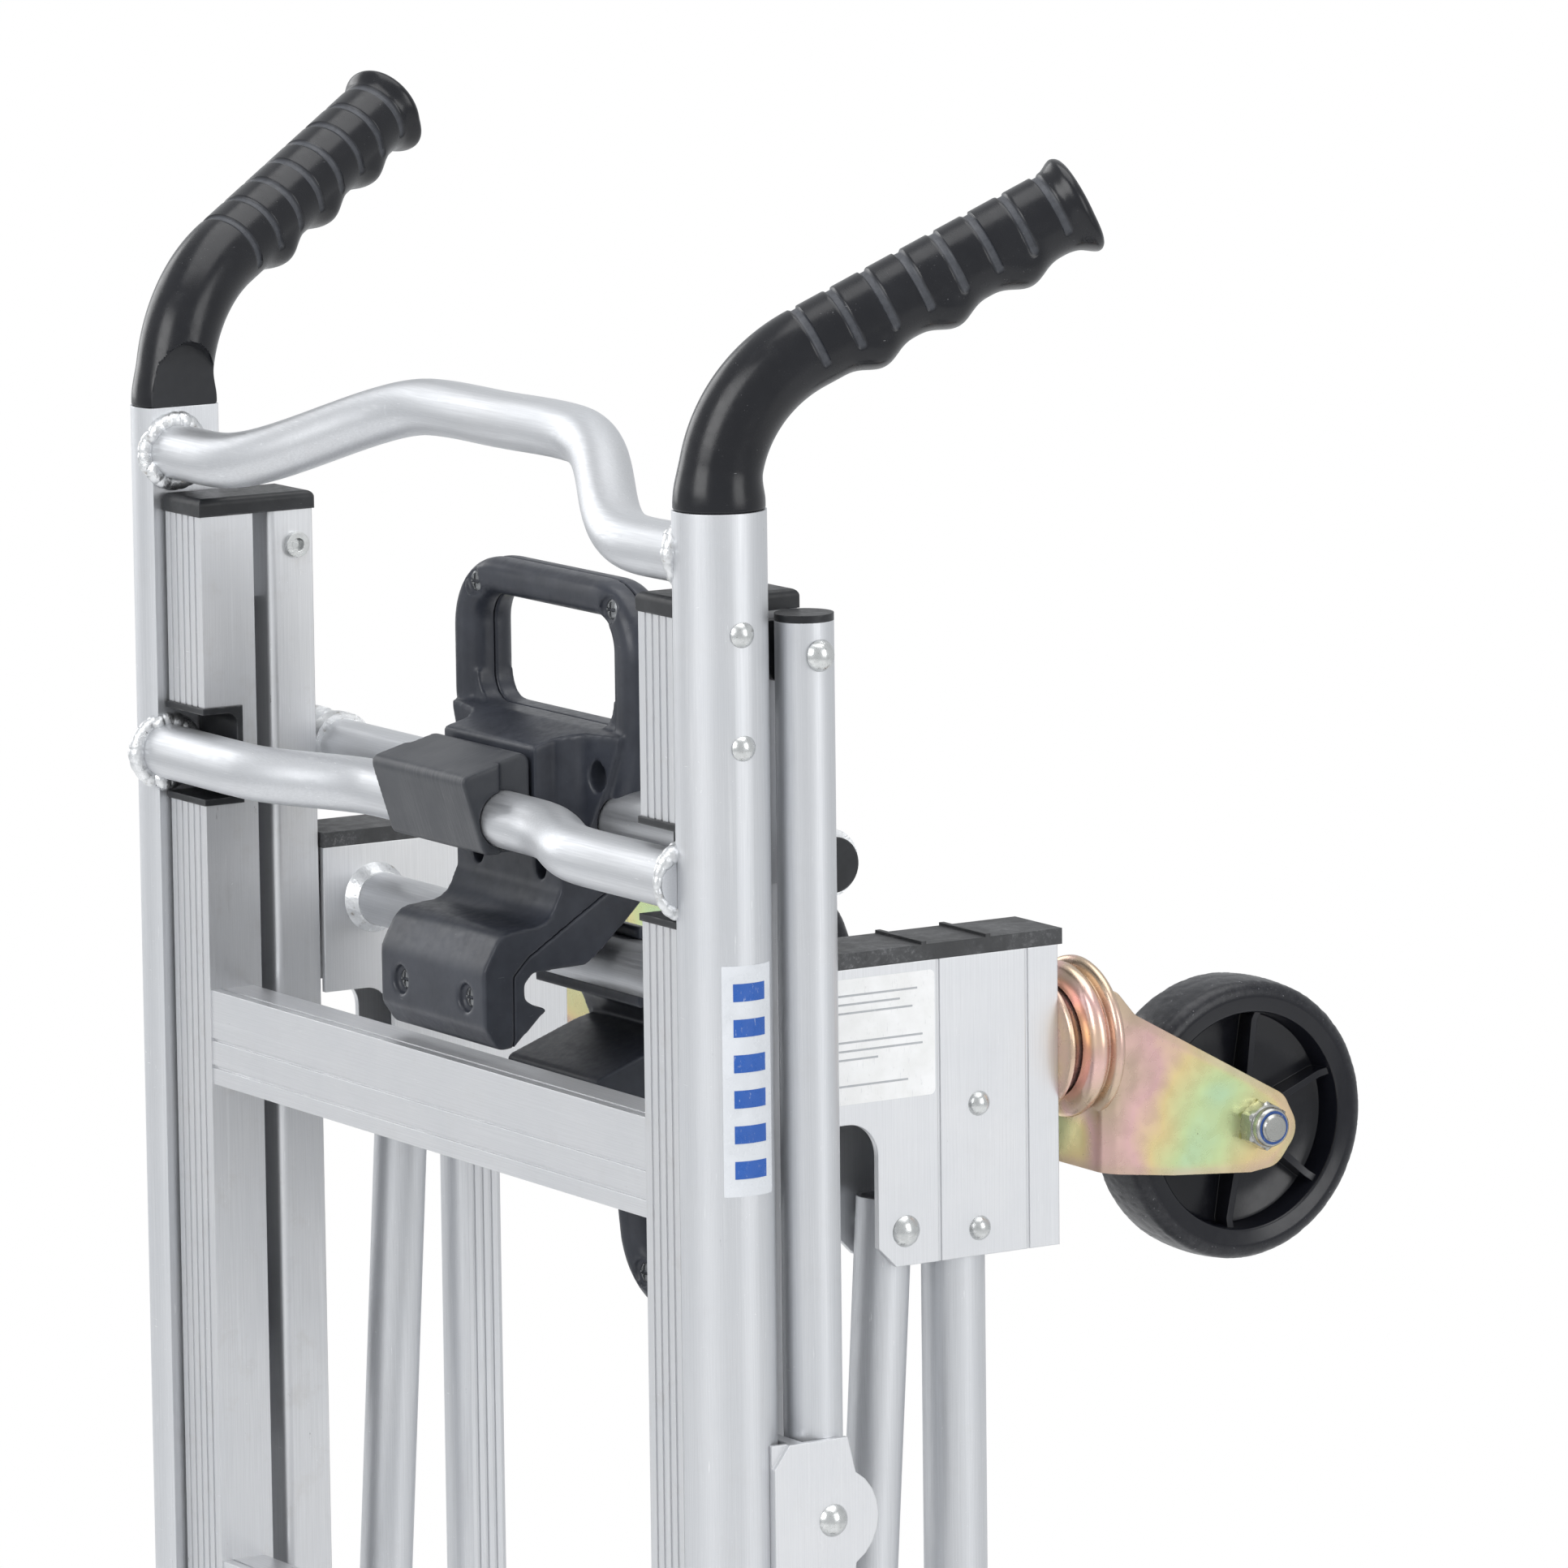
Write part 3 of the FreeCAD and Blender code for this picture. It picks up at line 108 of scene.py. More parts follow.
class Look:
    """A procedural material. Textures use object coordinates, so they stay with a piece as it moves."""

    def __init__(self, name):
        self.material = bpy.data.materials.new(name)
        self.material.use_nodes = True
        self.tree = self.material.node_tree
        self.shader = self.tree.nodes["Principled BSDF"]
        self.coordinates = self.add("ShaderNodeTexCoord").outputs["Object"]

    def add(self, kind, **settings):
        node = self.tree.nodes.new(kind)
        for name, value in settings.items():
            setattr(node, name, value)
        return node

    def put(self, socket, value):
        if isinstance(value, Signal):
            value = value.socket
        if isinstance(value, bpy.types.NodeSocket):
            self.tree.links.new(value, socket)
        elif isinstance(value, (tuple, list)) and len(value) == 3 and socket.type == "RGBA":
            socket.default_value = (*value, 1.0)
        else:
            socket.default_value = value

    def scaled(self, scale, turn=(0, 0, 0)):
        node = self.add("ShaderNodeMapping")
        self.put(node.inputs["Vector"], self.coordinates)
        node.inputs["Rotation"].default_value = [math.radians(angle) for angle in turn]
        node.inputs["Scale"].default_value = scale
        return node.outputs["Vector"]

    def noise(self, size, detail=4.0, rough=0.55, stretch=(1, 1, 1), turn=(0, 0, 0), distort=0.0):
        """Noise whose features are about size millimetres across, times stretch along each axis."""
        scale = [1.0 / (METRE * size * share) for share in stretch]
        node = self.add("ShaderNodeTexNoise")
        self.put(node.inputs["Vector"], self.scaled(scale, turn))
        settings = {"Scale": 1.0, "Detail": detail, "Roughness": rough, "Distortion": distort}
        for name, value in settings.items():
            node.inputs[name].default_value = value
        return Signal(self, node.outputs["Fac"])

    def spread(self, value, low, high, out_low=0.0, out_high=1.0):
        node = self.add("ShaderNodeMapRange", clamp=True)
        self.put(node.inputs["Value"], value)
        settings = {"From Min": low, "From Max": high, "To Min": out_low, "To Max": out_high}
        for name, number in settings.items():
            self.put(node.inputs[name], number)
        return Signal(self, node.outputs["Result"])

    def scratches(self, *kinds):
        """Fine scratches; a kind holds size, stretch, turn and the noise levels it starts and ends at."""
        deepest = None
        for size, stretch, turn, low, high in kinds:
            lines = self.spread(self.noise(size, 2, 0.5, stretch, turn), low, high)
            deepest = self.maths("MAXIMUM", deepest, lines) if deepest else lines
        return deepest

    def patches(self, noise, low, high, out_low=0.0, out_high=1.0):
        """Noise spread between two levels; noise holds what noise() needs."""
        return self.spread(self.noise(*noise), low, high, out_low, out_high)

    def maths(self, operation, first, second):
        node = self.add("ShaderNodeMath", operation=operation)
        self.put(node.inputs[0], first)
        self.put(node.inputs[1], second)
        return Signal(self, node.outputs["Value"])

    def mixed(self, share, first, second):
        node = self.add("ShaderNodeMix", data_type="RGBA")
        self.put(node.inputs["Factor"], share)
        for socket in node.inputs:
            if socket.type == "RGBA":
                self.put(socket, first if socket.name == "A" else second)
        return next(s for s in node.outputs if s.type == "RGBA")

    def clouded(self, colour, other, noise, low, high, most=1.0):
        """The colour with patches of other, as strong as most."""
        return self.mixed(self.patches(noise, low, high, 0.0, most), colour, other)

    def ramp(self, value, stops):
        node = self.add("ShaderNodeValToRGB")
        elements = node.color_ramp.elements
        while len(elements) < len(stops):
            elements.new(0.5)
        for element, (place, colour) in zip(elements, stops):
            element.position = place
            element.color = (*colour, 1.0)
        self.put(node.inputs["Fac"], value)
        return node.outputs["Color"]

    def attribute(self, name):
        return Signal(self, self.add("ShaderNodeAttribute", attribute_name=name).outputs["Fac"])

    def worn_edges(self, radius, low=0.02, high=0.25):
        """High where the surface turns sharply within radius millimetres."""
        soft = self.add("ShaderNodeBevel", samples=4)
        soft.inputs["Radius"].default_value = radius * METRE
        flat = self.add("ShaderNodeNewGeometry").outputs["Normal"]
        dot = self.add("ShaderNodeVectorMath", operation="DOT_PRODUCT")
        self.put(dot.inputs[0], soft.outputs["Normal"])
        self.put(dot.inputs[1], flat)
        return self.spread(self.maths("SUBTRACT", 1.0, dot.outputs["Value"]), low, high)

    def finish(self, colour, rough, metal=0.0, height=None, depth=0.1, bevel=0.0, **other):
        """Set the shader; depth is the bump's height and bevel the edge rounding, both in millimetres."""
        self.put(self.shader.inputs["Base Color"], colour)
        self.put(self.shader.inputs["Roughness"], rough)
        self.put(self.shader.inputs["Metallic"], metal)
        for name, value in other.items():
            self.put(self.shader.inputs[name.replace("_", " ")], value)
        normal = None
        if bevel:
            node = self.add("ShaderNodeBevel", samples=4)
            node.inputs["Radius"].default_value = bevel * METRE
            normal = node.outputs["Normal"]
        if height is not None:
            node = self.add("ShaderNodeBump")
            node.inputs["Distance"].default_value = depth * METRE
            self.put(node.inputs["Height"], height)
            if normal is not None:
                self.put(node.inputs["Normal"], normal)
            normal = node.outputs["Normal"]
        if normal is not None:
            self.put(self.shader.inputs["Normal"], normal)
        return self.material


GRAIN = {"x": (60, 1, 1), "y": (1, 60, 1), "z": (1, 1, 60)}


def shaded(colour, share):
    return tuple(part * share for part in colour)


def aluminium(name, axis, tint=(0.77, 0.775, 0.79), rough=0.36, dirt=0.5, scuffs=0.6, shade=1.0):
    """Bare mill-finish aluminium drawn along axis, with handling scuffs, scratches and black rub marks."""
    look = Look(name)
    tint = shaded(tint, shade)
    grain = look.noise(0.5, 3, 0.6, GRAIN[axis])
    lines = look.noise(1.6, 2, 0.5, GRAIN[axis])
    cloud = look.noise(45, 4, 0.6)
    colour = look.mixed(look.spread(grain, 0.3, 0.7), tint, shaded(tint, 0.90))
    colour = look.mixed(look.spread(cloud, 0.35, 0.7, 0, 0.35), colour, (0.62, 0.64, 0.67))
    streak = look.spread(lines, 0.62, 0.78, 0, 0.25)
    colour = look.mixed(streak, colour, (0.88, 0.89, 0.90))
    scratch = look.scratches((0.55, (14, 1.2, 1.0), (25, 20, 63), 0.715, 0.75),
                             (0.5, (1, 1.3, 18), (8, -6, 15), 0.725, 0.76))
    scratch = scratch * look.patches((22, 3, 0.6), 0.45, 0.68) * scuffs
    colour = look.mixed(scratch, colour, (0.93, 0.94, 0.95))
    rub = look.noise(2.6, 5, 0.75, tuple(1.0 if part == 1 else 4.0 for part in GRAIN[axis]))
    place = look.noise(38, 3, 0.5)
    marks = look.spread(rub, 0.66, 0.72) * look.spread(place, 0.58, 0.68) * dirt
    colour = look.mixed(marks, colour, (0.06, 0.055, 0.05))
    stain = look.patches((14, 5, 0.7), 0.55, 0.8, 0, 0.14 * dirt)
    colour = look.mixed(stain, colour, (0.42, 0.38, 0.33))
    roughness = look.spread(grain, 0.3, 0.75, rough - 0.05, rough + 0.12) + marks * 0.3
    height = grain * 0.5 + scratch * -0.8
    return look.finish(colour, roughness, 0.92, height, 0.035, bevel=0.5)


def weld_metal(name):
    look = Look(name)
    soot = look.noise(5, 5, 0.7)
    stops = [(0.28, (0.30, 0.27, 0.23)), (0.40, (0.66, 0.67, 0.68)), (0.7, (0.86, 0.87, 0.88))]
    colour = look.ramp(soot, stops)
    height = look.noise(1.1, 4, 0.6)
    return look.finish(colour, look.spread(soot, 0.3, 0.7, 0.42, 0.22), 0.95, height, 0.25)


def zinc(name, warm=0.0, shade=1.0):
    look = Look(name)
    blotch = look.noise(3.5, 4, 0.6)
    cool = (0.66, 0.68, 0.70)
    gold = (0.72, 0.68, 0.50)
    base = tuple((a * (1 - warm) + b * warm) * shade for a, b in zip(cool, gold))
    other = shaded(base, 0.78)
    colour = look.mixed(look.spread(blotch, 0.35, 0.7), base, other)
    colour = look.clouded(colour, (0.22, 0.21, 0.19), (0.8, 3, 0.6), 0.62, 0.75, 0.6)
    roughness = look.spread(blotch, 0.3, 0.7, 0.2, 0.36)
    return look.finish(colour, roughness, 0.95, look.noise(0.6, 3), 0.03, bevel=0.35)


def yellow_chromate(name):
    """Zinc plate with a thin-film passivate: pink at the edges through yellow to pale green and blue."""
    look = Look(name)
    cloud = look.noise(52, 2, 0.3, distort=0.3)
    fine = look.noise(7, 3, 0.5)
    edge = look.worn_edges(7.0, 0.01, 0.3)
    film = cloud * 1.05 + fine * 0.04
    film = film - 0.14 - edge * 0.25
    bands = [(0.20, (0.58, 0.45, 0.33)), (0.32, (0.78, 0.50, 0.48)), (0.42, (0.83, 0.67, 0.34)),
             (0.54, (0.64, 0.77, 0.41)), (0.64, (0.43, 0.74, 0.58)), (0.76, (0.75, 0.73, 0.36)),
             (0.88, (0.78, 0.49, 0.53))]
    colour = look.ramp(film, bands)
    grime = look.patches((9, 6, 0.75), 0.66, 0.80, 0, 0.4)
    colour = look.mixed(grime, colour, (0.20, 0.17, 0.12))
    specks = look.patches((0.9, 2, 0.5), 0.74, 0.79, 0, 0.7)
    colour = look.mixed(specks, colour, (0.12, 0.10, 0.08))
    roughness = look.spread(fine, 0.3, 0.7, 0.22, 0.34)
    return look.finish(colour, roughness, 0.88, look.noise(2.2, 3), 0.02, bevel=0.6)


def moulded_plastic(name, tint, rough=0.42, wear=0.3, dust=0.2, bevel=0.5, grain=0.35):
    """Satin moulded plastic with a fine grain, paler rubbed places and small scratches."""
    look = Look(name)
    cloud = look.noise(18, 4, 0.6)
    pale = tuple(min(1.0, part * 2.2 + 0.02) for part in tint)
    colour = look.mixed(look.spread(cloud, 0.4, 0.75, 0, dust), tint, pale)
    scratch = look.scratches((0.45, (16, 1, 1.2), (32, 12, 58), 0.73, 0.77),
                             (0.4, (1.2, 14, 1), (-28, 40, 10), 0.735, 0.775))
    scratch = scratch * look.patches((15, 3), 0.48, 0.66) * wear
    colour = look.mixed(scratch, colour, (0.42, 0.42, 0.43))
    rubbed = look.worn_edges(1.2, 0.03, 0.3) * look.patches((6, 4), 0.4, 0.7)
    colour = look.mixed(rubbed * wear, colour, (0.30, 0.30, 0.31))
    roughness = look.patches((3, 4), 0.3, 0.7, rough - 0.06, rough + 0.08)
    height = look.noise(grain, 2) * 0.5 + scratch * -1.0
    return look.finish(colour, roughness, 0.0, height, 0.03, bevel=bevel, Specular_IOR_Level=0.4)


def latch_top(name):
    """Charcoal plastic whose top and front are rubbed bright along X by the loads pushed over it."""
    look = Look(name)
    tint = (0.025, 0.028, 0.035)
    cloud = look.noise(20, 4, 0.6)
    colour = look.mixed(look.spread(cloud, 0.4, 0.75, 0, 0.5), tint, (0.055, 0.059, 0.066))
    streak = look.noise(0.9, 4, 0.7, (1, 26, 26), (0, 0, 4))
    normal = look.add("ShaderNodeSeparateXYZ")
    look.put(normal.inputs[0], look.add("ShaderNodeNewGeometry").outputs["Normal"])
    facing = look.maths("ABSOLUTE", normal.outputs["X"], 0.0)
    worn = look.spread(streak, 0.40, 0.70) * look.spread(facing, 0.5, 0.2)
    worn = worn * look.patches((24, 3, 0.6), 0.35, 0.62, 0.25, 1.0)
    colour = look.mixed(worn * 0.42, colour, (0.19, 0.19, 0.195))
    roughness = look.spread(streak, 0.3, 0.7, 0.36, 0.5)
    height = look.noise(0.35, 2) + streak * 0.8
    return look.finish(colour, roughness, 0.0, height, 0.03)


def grip_vinyl(name):
    look = Look(name)
    tint = (0.006, 0.0065, 0.009)
    cloud = look.noise(25, 4, 0.6)
    colour = look.mixed(look.spread(cloud, 0.45, 0.75, 0, 0.35), tint, (0.015, 0.016, 0.020))
    groove = look.attribute("groove")
    dusty = groove * look.patches((2.5, 4, 0.7), 0.25, 0.6, 0.55, 1.0)
    colour = look.mixed(dusty, colour, (0.060, 0.064, 0.074))
    flat = look.attribute("flat")
    colour = look.mixed(flat, colour, (0.020, 0.021, 0.024))
    scratch = look.scratches((0.4, (15, 1, 1.2), (32, 12, 70), 0.735, 0.77),
                             (0.35, (1.2, 10, 1), (-40, 35, 10), 0.745, 0.775))
    scratch = scratch * look.patches((12, 3), 0.50, 0.68, 0, 0.8)
    colour = look.mixed(scratch, colour, (0.35, 0.35, 0.36))
    roughness = look.patches((4, 4), 0.3, 0.7, 0.20, 0.30) + groove * 0.22 + flat * 0.30
    height = look.noise(0.5, 3) * 0.4 - scratch
    return look.finish(colour, roughness, 0.0, height, 0.03, Specular_IOR_Level=0.38)


def worn_rubber(name, tint=(0.03, 0.03, 0.032), scuff=0.5, rough=0.55):
    look = Look(name)
    cloud = look.noise(14, 5, 0.7)
    colour = look.mixed(look.spread(cloud, 0.4, 0.7, 0, 0.6), tint, shaded(tint, 2.4))
    chalk = look.patches((1.6, 5, 0.8), 0.5, 0.72) * look.spread(cloud, 0.45, 0.65)
    colour = look.mixed(chalk * scuff, colour, (0.36, 0.36, 0.37))
    roughness = look.patches((5, 4), 0.3, 0.7, rough - 0.1, rough + 0.1)
    height = look.noise(0.9, 5, 0.7) + look.noise(5, 3) * 0.6
    return look.finish(colour, roughness, 0.0, height, 0.12, bevel=0.6)


def caster_polymer(name):
    """Hard black polymer: smooth on the faces, chalky and pitted on the tread."""
    look = Look(name)
    tint = (0.007, 0.0075, 0.011)
    tread = look.attribute("tread")
    scuff = look.patches((2.2, 6, 0.8, (3, 1, 1)), 0.42, 0.68)
    scuff = scuff * look.patches((16, 3), 0.35, 0.65, 0.35, 1.0)
    colour = look.mixed(scuff * tread * 0.16, tint, (0.16, 0.16, 0.17))
    colour = look.clouded(colour, (0.03, 0.032, 0.036), (20, 4), 0.45, 0.8, 0.15)
    nick = look.patches((1.4, 4, 0.6), 0.66, 0.72) * tread
    colour = look.mixed(nick, colour, (0.02, 0.02, 0.02))
    speck = look.patches((0.9, 2, 0.5, (1, 1, 1), (9, 2, 5)), 0.70, 0.76, 0, 0.6) * tread
    colour = look.mixed(speck, colour, (0.34, 0.34, 0.36))
    roughness = look.patches((4, 3), 0.3, 0.7, 0.17, 0.26) + tread * 0.10
    height = look.noise(0.8, 4, 0.7) * (tread + 0.15) + nick * -2.0
    return look.finish(colour, roughness, 0.0, height, 0.06, bevel=0.4, Specular_IOR_Level=0.36)


def painted_rim(name):
    look = Look(name)
    colour = look.clouded((0.70, 0.71, 0.72), (0.60, 0.61, 0.62), (30, 4), 0.35, 0.7)
    chips = look.patches((2.0, 5, 0.7), 0.67, 0.72)
    colour = look.mixed(chips, colour, (0.16, 0.13, 0.11))
    grime = look.patches((12, 5, 0.7), 0.52, 0.75, 0, 0.5)
    colour = look.mixed(grime, colour, (0.28, 0.25, 0.22))
    height = look.noise(1.2, 3) * 0.3 - chips
    return look.finish(colour, look.patches((6, 3), 0.3, 0.7, 0.3, 0.45), 0.15, height, 0.08, bevel=0.5)


def paper_label(name):
    """Blank white label, yellowed, with rubbed corners and thin scuffs."""
    look = Look(name)
    colour = look.clouded((0.90, 0.90, 0.90), (0.82, 0.82, 0.81), (9, 4), 0.35, 0.7)
    scuff = look.patches((0.7, 4, 0.7, (1, 1, 7), (20, 0, 0)), 0.62, 0.70, 0, 0.5)
    colour = look.mixed(scuff, colour, (0.55, 0.56, 0.58))
    grime = look.patches((3, 5, 0.8), 0.62, 0.74, 0, 0.35)
    colour = look.mixed(grime, colour, (0.35, 0.33, 0.30))
    return look.finish(colour, 0.5, 0.0, look.noise(1.5, 4), 0.05)


def sticker(name, tint):
    look = Look(name)
    scuff = look.patches((0.8, 4, 0.7, (1, 1, 4)), 0.62, 0.72, 0, 0.7)
    colour = look.clouded(tint, shaded(tint, 0.8), (8, 3), 0.4, 0.7, 0.4)
    colour = look.mixed(scuff, colour, (0.75, 0.77, 0.80))
    return look.finish(colour, look.patches((3, 3), 0.3, 0.7, 0.22, 0.4), 0.0, look.noise(2, 3), 0.03)


LOOKS = {
    "rail": aluminium("rail_metal", "z", rough=0.42, dirt=1.6, scuffs=1.0, shade=0.94),
    "tube": aluminium("tube_metal", "z", tint=(0.71, 0.72, 0.74), rough=0.41, dirt=0.6, scuffs=1.0),
    "bar": aluminium("bar_metal", "x", tint=(0.63, 0.64, 0.66), rough=0.40, dirt=0.45, scuffs=1.0),
    "beam": aluminium("beam_metal", "x", rough=0.38, dirt=0.7, scuffs=0.6),
    "sheet": aluminium("sheet_metal", "z", rough=0.42, dirt=0.4, scuffs=0.5),
    "toe": aluminium("toe_metal", "x", rough=0.40, dirt=1.0, scuffs=1.0, shade=0.92),
    "weld": weld_metal("weld_bead"),
    "zinc": zinc("zinc_plate", 0.12),
    # The screw heads' zinc is darkened to 0.38 of its colour: painted shade for the deep pockets the heads sit
    # in.
    "screw": zinc("screw_zinc_painted_shade", 0.0, 0.38),
    "axle": zinc("axle_plate", 0.25, 0.66),
    "chromate": yellow_chromate("yellow_chromate"),
    "black": moulded_plastic("black_moulding", (0.010, 0.011, 0.013), rough=0.40, wear=0.5, dust=0.5),
    "nylon": moulded_plastic("pale_nylon", (0.70, 0.69, 0.65), rough=0.45, wear=0.2),
    "latch": moulded_plastic("charcoal_moulding", (0.023, 0.026, 0.035), rough=0.36, wear=0.35, dust=0.35,
                             bevel=0),
    "latch_top": latch_top("charcoal_rubbed"),
    "grip": grip_vinyl("black_vinyl"),
    "pad": worn_rubber("pad_rubber", (0.035, 0.036, 0.038), 0.5),
    "caster": caster_polymer("caster_polymer"),
    "tyre": worn_rubber("tyre_rubber", (0.028, 0.028, 0.029), 0.25, 0.62),
    "rim": painted_rim("rim_paint"),
    "label": paper_label("blank_label"),
    "blue": sticker("blue_sticker", (0.02, 0.10, 0.40)),
    "clear": sticker("clear_sticker", (0.66, 0.68, 0.71)),
    "ink": sticker("grey_ink", (0.45, 0.46, 0.48)),
    "insert": sticker("nylon_insert", (0.02, 0.07, 0.26)),
}

# A star stands for right and left.
NODE_LOOKS = {
    "rail": ("rail_*",),
    "tube": ("handle_tube_*", "brace_*", "caster_frame_tubes", "strut_pair"),
    "bar": ("top_grab_bar", "lower_crossbar", "rear_crossbar", "caster_crossbar"),
    "beam": ("cross_members",),
    "sheet": ("caster_bracket_*", "brace_brackets", "axle_brackets", "caster_frame_lugs", "slide_blocks"),
    "toe": ("toe_plate",),
    "weld": ("rear_crossbar_welds", "handle_welds", "caster_crossbar_welds"),
    "zinc": ("brace_pivot_bolts", "handle_rivets", "brace_lower_pins", "caster_bracket_pins",
             "toe_plate_rivets"),
    "screw": ("upper_latch_screws", "lower_latch_screws"),
    "axle": ("main_axle", "axle_spacers", "caster_axle_*", "main_wheel_bearings_*"),
    "chromate": ("caster_raceways", "caster_fork_*"),
    "black": ("rail_caps", "notch_liners", "rear_crossbar_plugs", "brace_pivot_blocks", "brace_end_plugs"),
    "nylon": ("slide_shoes",),
    "latch": ("upper_latch_front_shell", "upper_latch_rear_shell", "lower_latch_front_shell",
              "lower_latch_rear_shell"),
    "latch_top": ("latch_saddle",),
    "grip": ("grip_*",),
    "pad": ("bracket_pads",),
    "caster": ("caster_wheel_*",),
    "tyre": ("main_tyre_*",),
    "rim": ("main_wheel_rim_*",),
}


def dress_frame():
    for look, names in NODE_LOOKS.items():
        for name in sorted({name.replace("*", side) for name in names for side, _ in SIDES}):
            node = NODES[name]
            node.data.materials.clear()
            node.data.materials.append(LOOKS[look])


# ---- mesh building, in millimetres ----
AXES = {"x": (0, 1, 2), "y": (1, 2, 0), "z": (2, 0, 1)}


def ring_faces(rings, steps, closed=False):
    """Quads between rings of steps vertices; closed joins the last ring to the first."""
    faces = []
    for ring in range(rings if closed else rings - 1):
        here = ring * steps
        there = (ring + 1) % rings * steps
        for step in range(steps):
            after = (step + 1) % steps
            faces.append((here + step, here + after, there + after, there + step))
    return faces


def turned(profile, origin, axis, steps=64, closed=False, shape=None):
    """Rings of (along, radius) points about an axis; shape(along, radius, angle) may adjust the radius."""
    lead, first, second = AXES[axis]
    vertices = []
    for along, radius in profile:
        for step in range(steps):
            angle = math.tau * step / steps
            reach = shape(along, radius, angle) if shape else radius
            point = list(origin)
            point[lead] += along
            point[first] += reach * math.cos(angle)
            point[second] += reach * math.sin(angle)
            vertices.append(point)
    return vertices, ring_faces(len(profile), steps, closed)


def cylinder(origin, axis, low, high, radius, steps):
    return turned([(low, 0.0), (low, radius), (high, radius), (high, 0.0)], origin, axis, steps)


def prism(outline, axis, low, high):
    """A straight prism; the outline's points are in the two axes that follow, in x, y, z order."""
    lead = "xyz".index(axis)
    vertices = []
    for along in (low, high):
        for point in outline:
            corner = list(point)
            corner.insert(lead, along)
            vertices.append(corner)
    count = len(outline)
    faces = [tuple(range(count)), tuple(range(2 * count - 1, count - 1, -1))]
    faces += [(k, (k + 1) % count, count + (k + 1) % count, count + k) for k in range(count)]
    return vertices, faces


def oval(centre, half_wide, half_high, steps=40):
    return [(centre[0] + half_wide * math.cos(math.tau * k / steps),
             centre[1] + half_high * math.sin(math.tau * k / steps)) for k in range(steps)]


def rounded_outline(points, radii, steps=8):
    """The outline with each corner replaced by an arc; radii holds one radius, or one for each corner."""
    if not isinstance(radii, (list, tuple)):
        radii = [radii] * len(points)
    result = []
    for k, radius in enumerate(radii):
        corner = Vector(points[k])
        into = (Vector(points[k - 1]) - corner)
        out = (Vector(points[(k + 1) % len(points)]) - corner)
        half = into.angle(out) / 2
        if radius <= 0 or half > math.radians(88):
            result.append(tuple(corner))
            continue
        run = min(radius / math.tan(half), 0.48 * into.length, 0.48 * out.length)
        into.normalize()
        out.normalize()
        start = corner + into * run
        end = corner + out * run
        for step in range(steps + 1):
            share = step / steps
            pull = 2 * share * (1 - share) * math.sin(half)
            weight = (1 - share) ** 2 + pull + share ** 2
            result.append(tuple((start * (1 - share) ** 2 + corner * pull + end * share ** 2) / weight))
    return result


def cuboid(low, high):
    return prism([(low[1], low[2]), (high[1], low[2]), (high[1], high[2]), (low[1], high[2])], "x",
                 low[0], high[0])


def joined(*parts):
    vertices = []
    faces = []
    for part_vertices, part_faces in parts:
        base = len(vertices)
        vertices += part_vertices
        faces += [tuple(base + index for index in face) for face in part_faces]
    return vertices, faces


def mirrored(part):
    vertices, faces = part
    return [(-x, y, z) for x, y, z in vertices], [tuple(reversed(face)) for face in faces]


def sided(part, sign):
    """The part for one side: its own copy on the right, its mirror image on the left."""
    if isinstance(part, tuple):
        return part if sign > 0 else mirrored(part)
    copy = part.copy()
    if sign < 0:
        copy.transform(Matrix.Diagonal((-1, 1, 1, 1)))
        copy.flip_normals()
    return copy


def raw_mesh(part):
    """A closed mesh with outward normals, still in millimetres."""
    mesh = bpy.data.meshes.new("raw")
    bm = bmesh.new()
    corners = [bm.verts.new(point) for point in part[0]]
    for face in part[1]:
        bm.faces.new([corners[index] for index in face])
    bmesh.ops.remove_doubles(bm, verts=bm.verts, dist=0.0005)
    bmesh.ops.recalc_face_normals(bm, faces=bm.faces)
    bm.to_mesh(mesh)
    bm.free()
    return mesh


def evaluated(mesh, add_modifiers):
    """The mesh after the modifiers that add_modifiers puts on a temporary object."""
    carrier = bpy.data.objects.new("temporary", mesh)
    bpy.context.scene.collection.objects.link(carrier)
    add_modifiers(carrier)
    graph = bpy.context.evaluated_depsgraph_get()
    result = bpy.data.meshes.new_from_object(carrier.evaluated_get(graph))
    bpy.data.objects.remove(carrier)
    return result


def carved(base, adds=(), cuts=(), keeps=()):
    """The base solid joined with adds, less cuts, kept inside keeps."""
    tools = []

    def add_modifiers(carrier):
        for operation, parts in (("UNION", adds), ("DIFFERENCE", cuts), ("INTERSECT", keeps)):
            for part in parts:
                tool = bpy.data.objects.new("tool", raw_mesh(part) if isinstance(part, tuple) else part)
                bpy.context.scene.collection.objects.link(tool)
                tool.hide_render = True
                tools.append(tool)
                modifier = carrier.modifiers.new("carve", "BOOLEAN")
                modifier.operation = operation
                modifier.solver = "EXACT"
                modifier.object = tool

    result = evaluated(raw_mesh(base) if isinstance(base, tuple) else base, add_modifiers)
    for tool in tools:
        bpy.data.objects.remove(tool)
    return result


def softened(mesh, voxel=0.8, rounds=10):
    """A moulding with softly rounded edges."""
    size = voxel

    def add_modifiers(carrier):
        remesh = carrier.modifiers.new("remesh", "REMESH")
        remesh.mode = "VOXEL"
        remesh.voxel_size = size
        smooth = carrier.modifiers.new("smooth", "SMOOTH")
        smooth.factor = 0.5
        smooth.iterations = rounds

    return evaluated(mesh, add_modifiers)


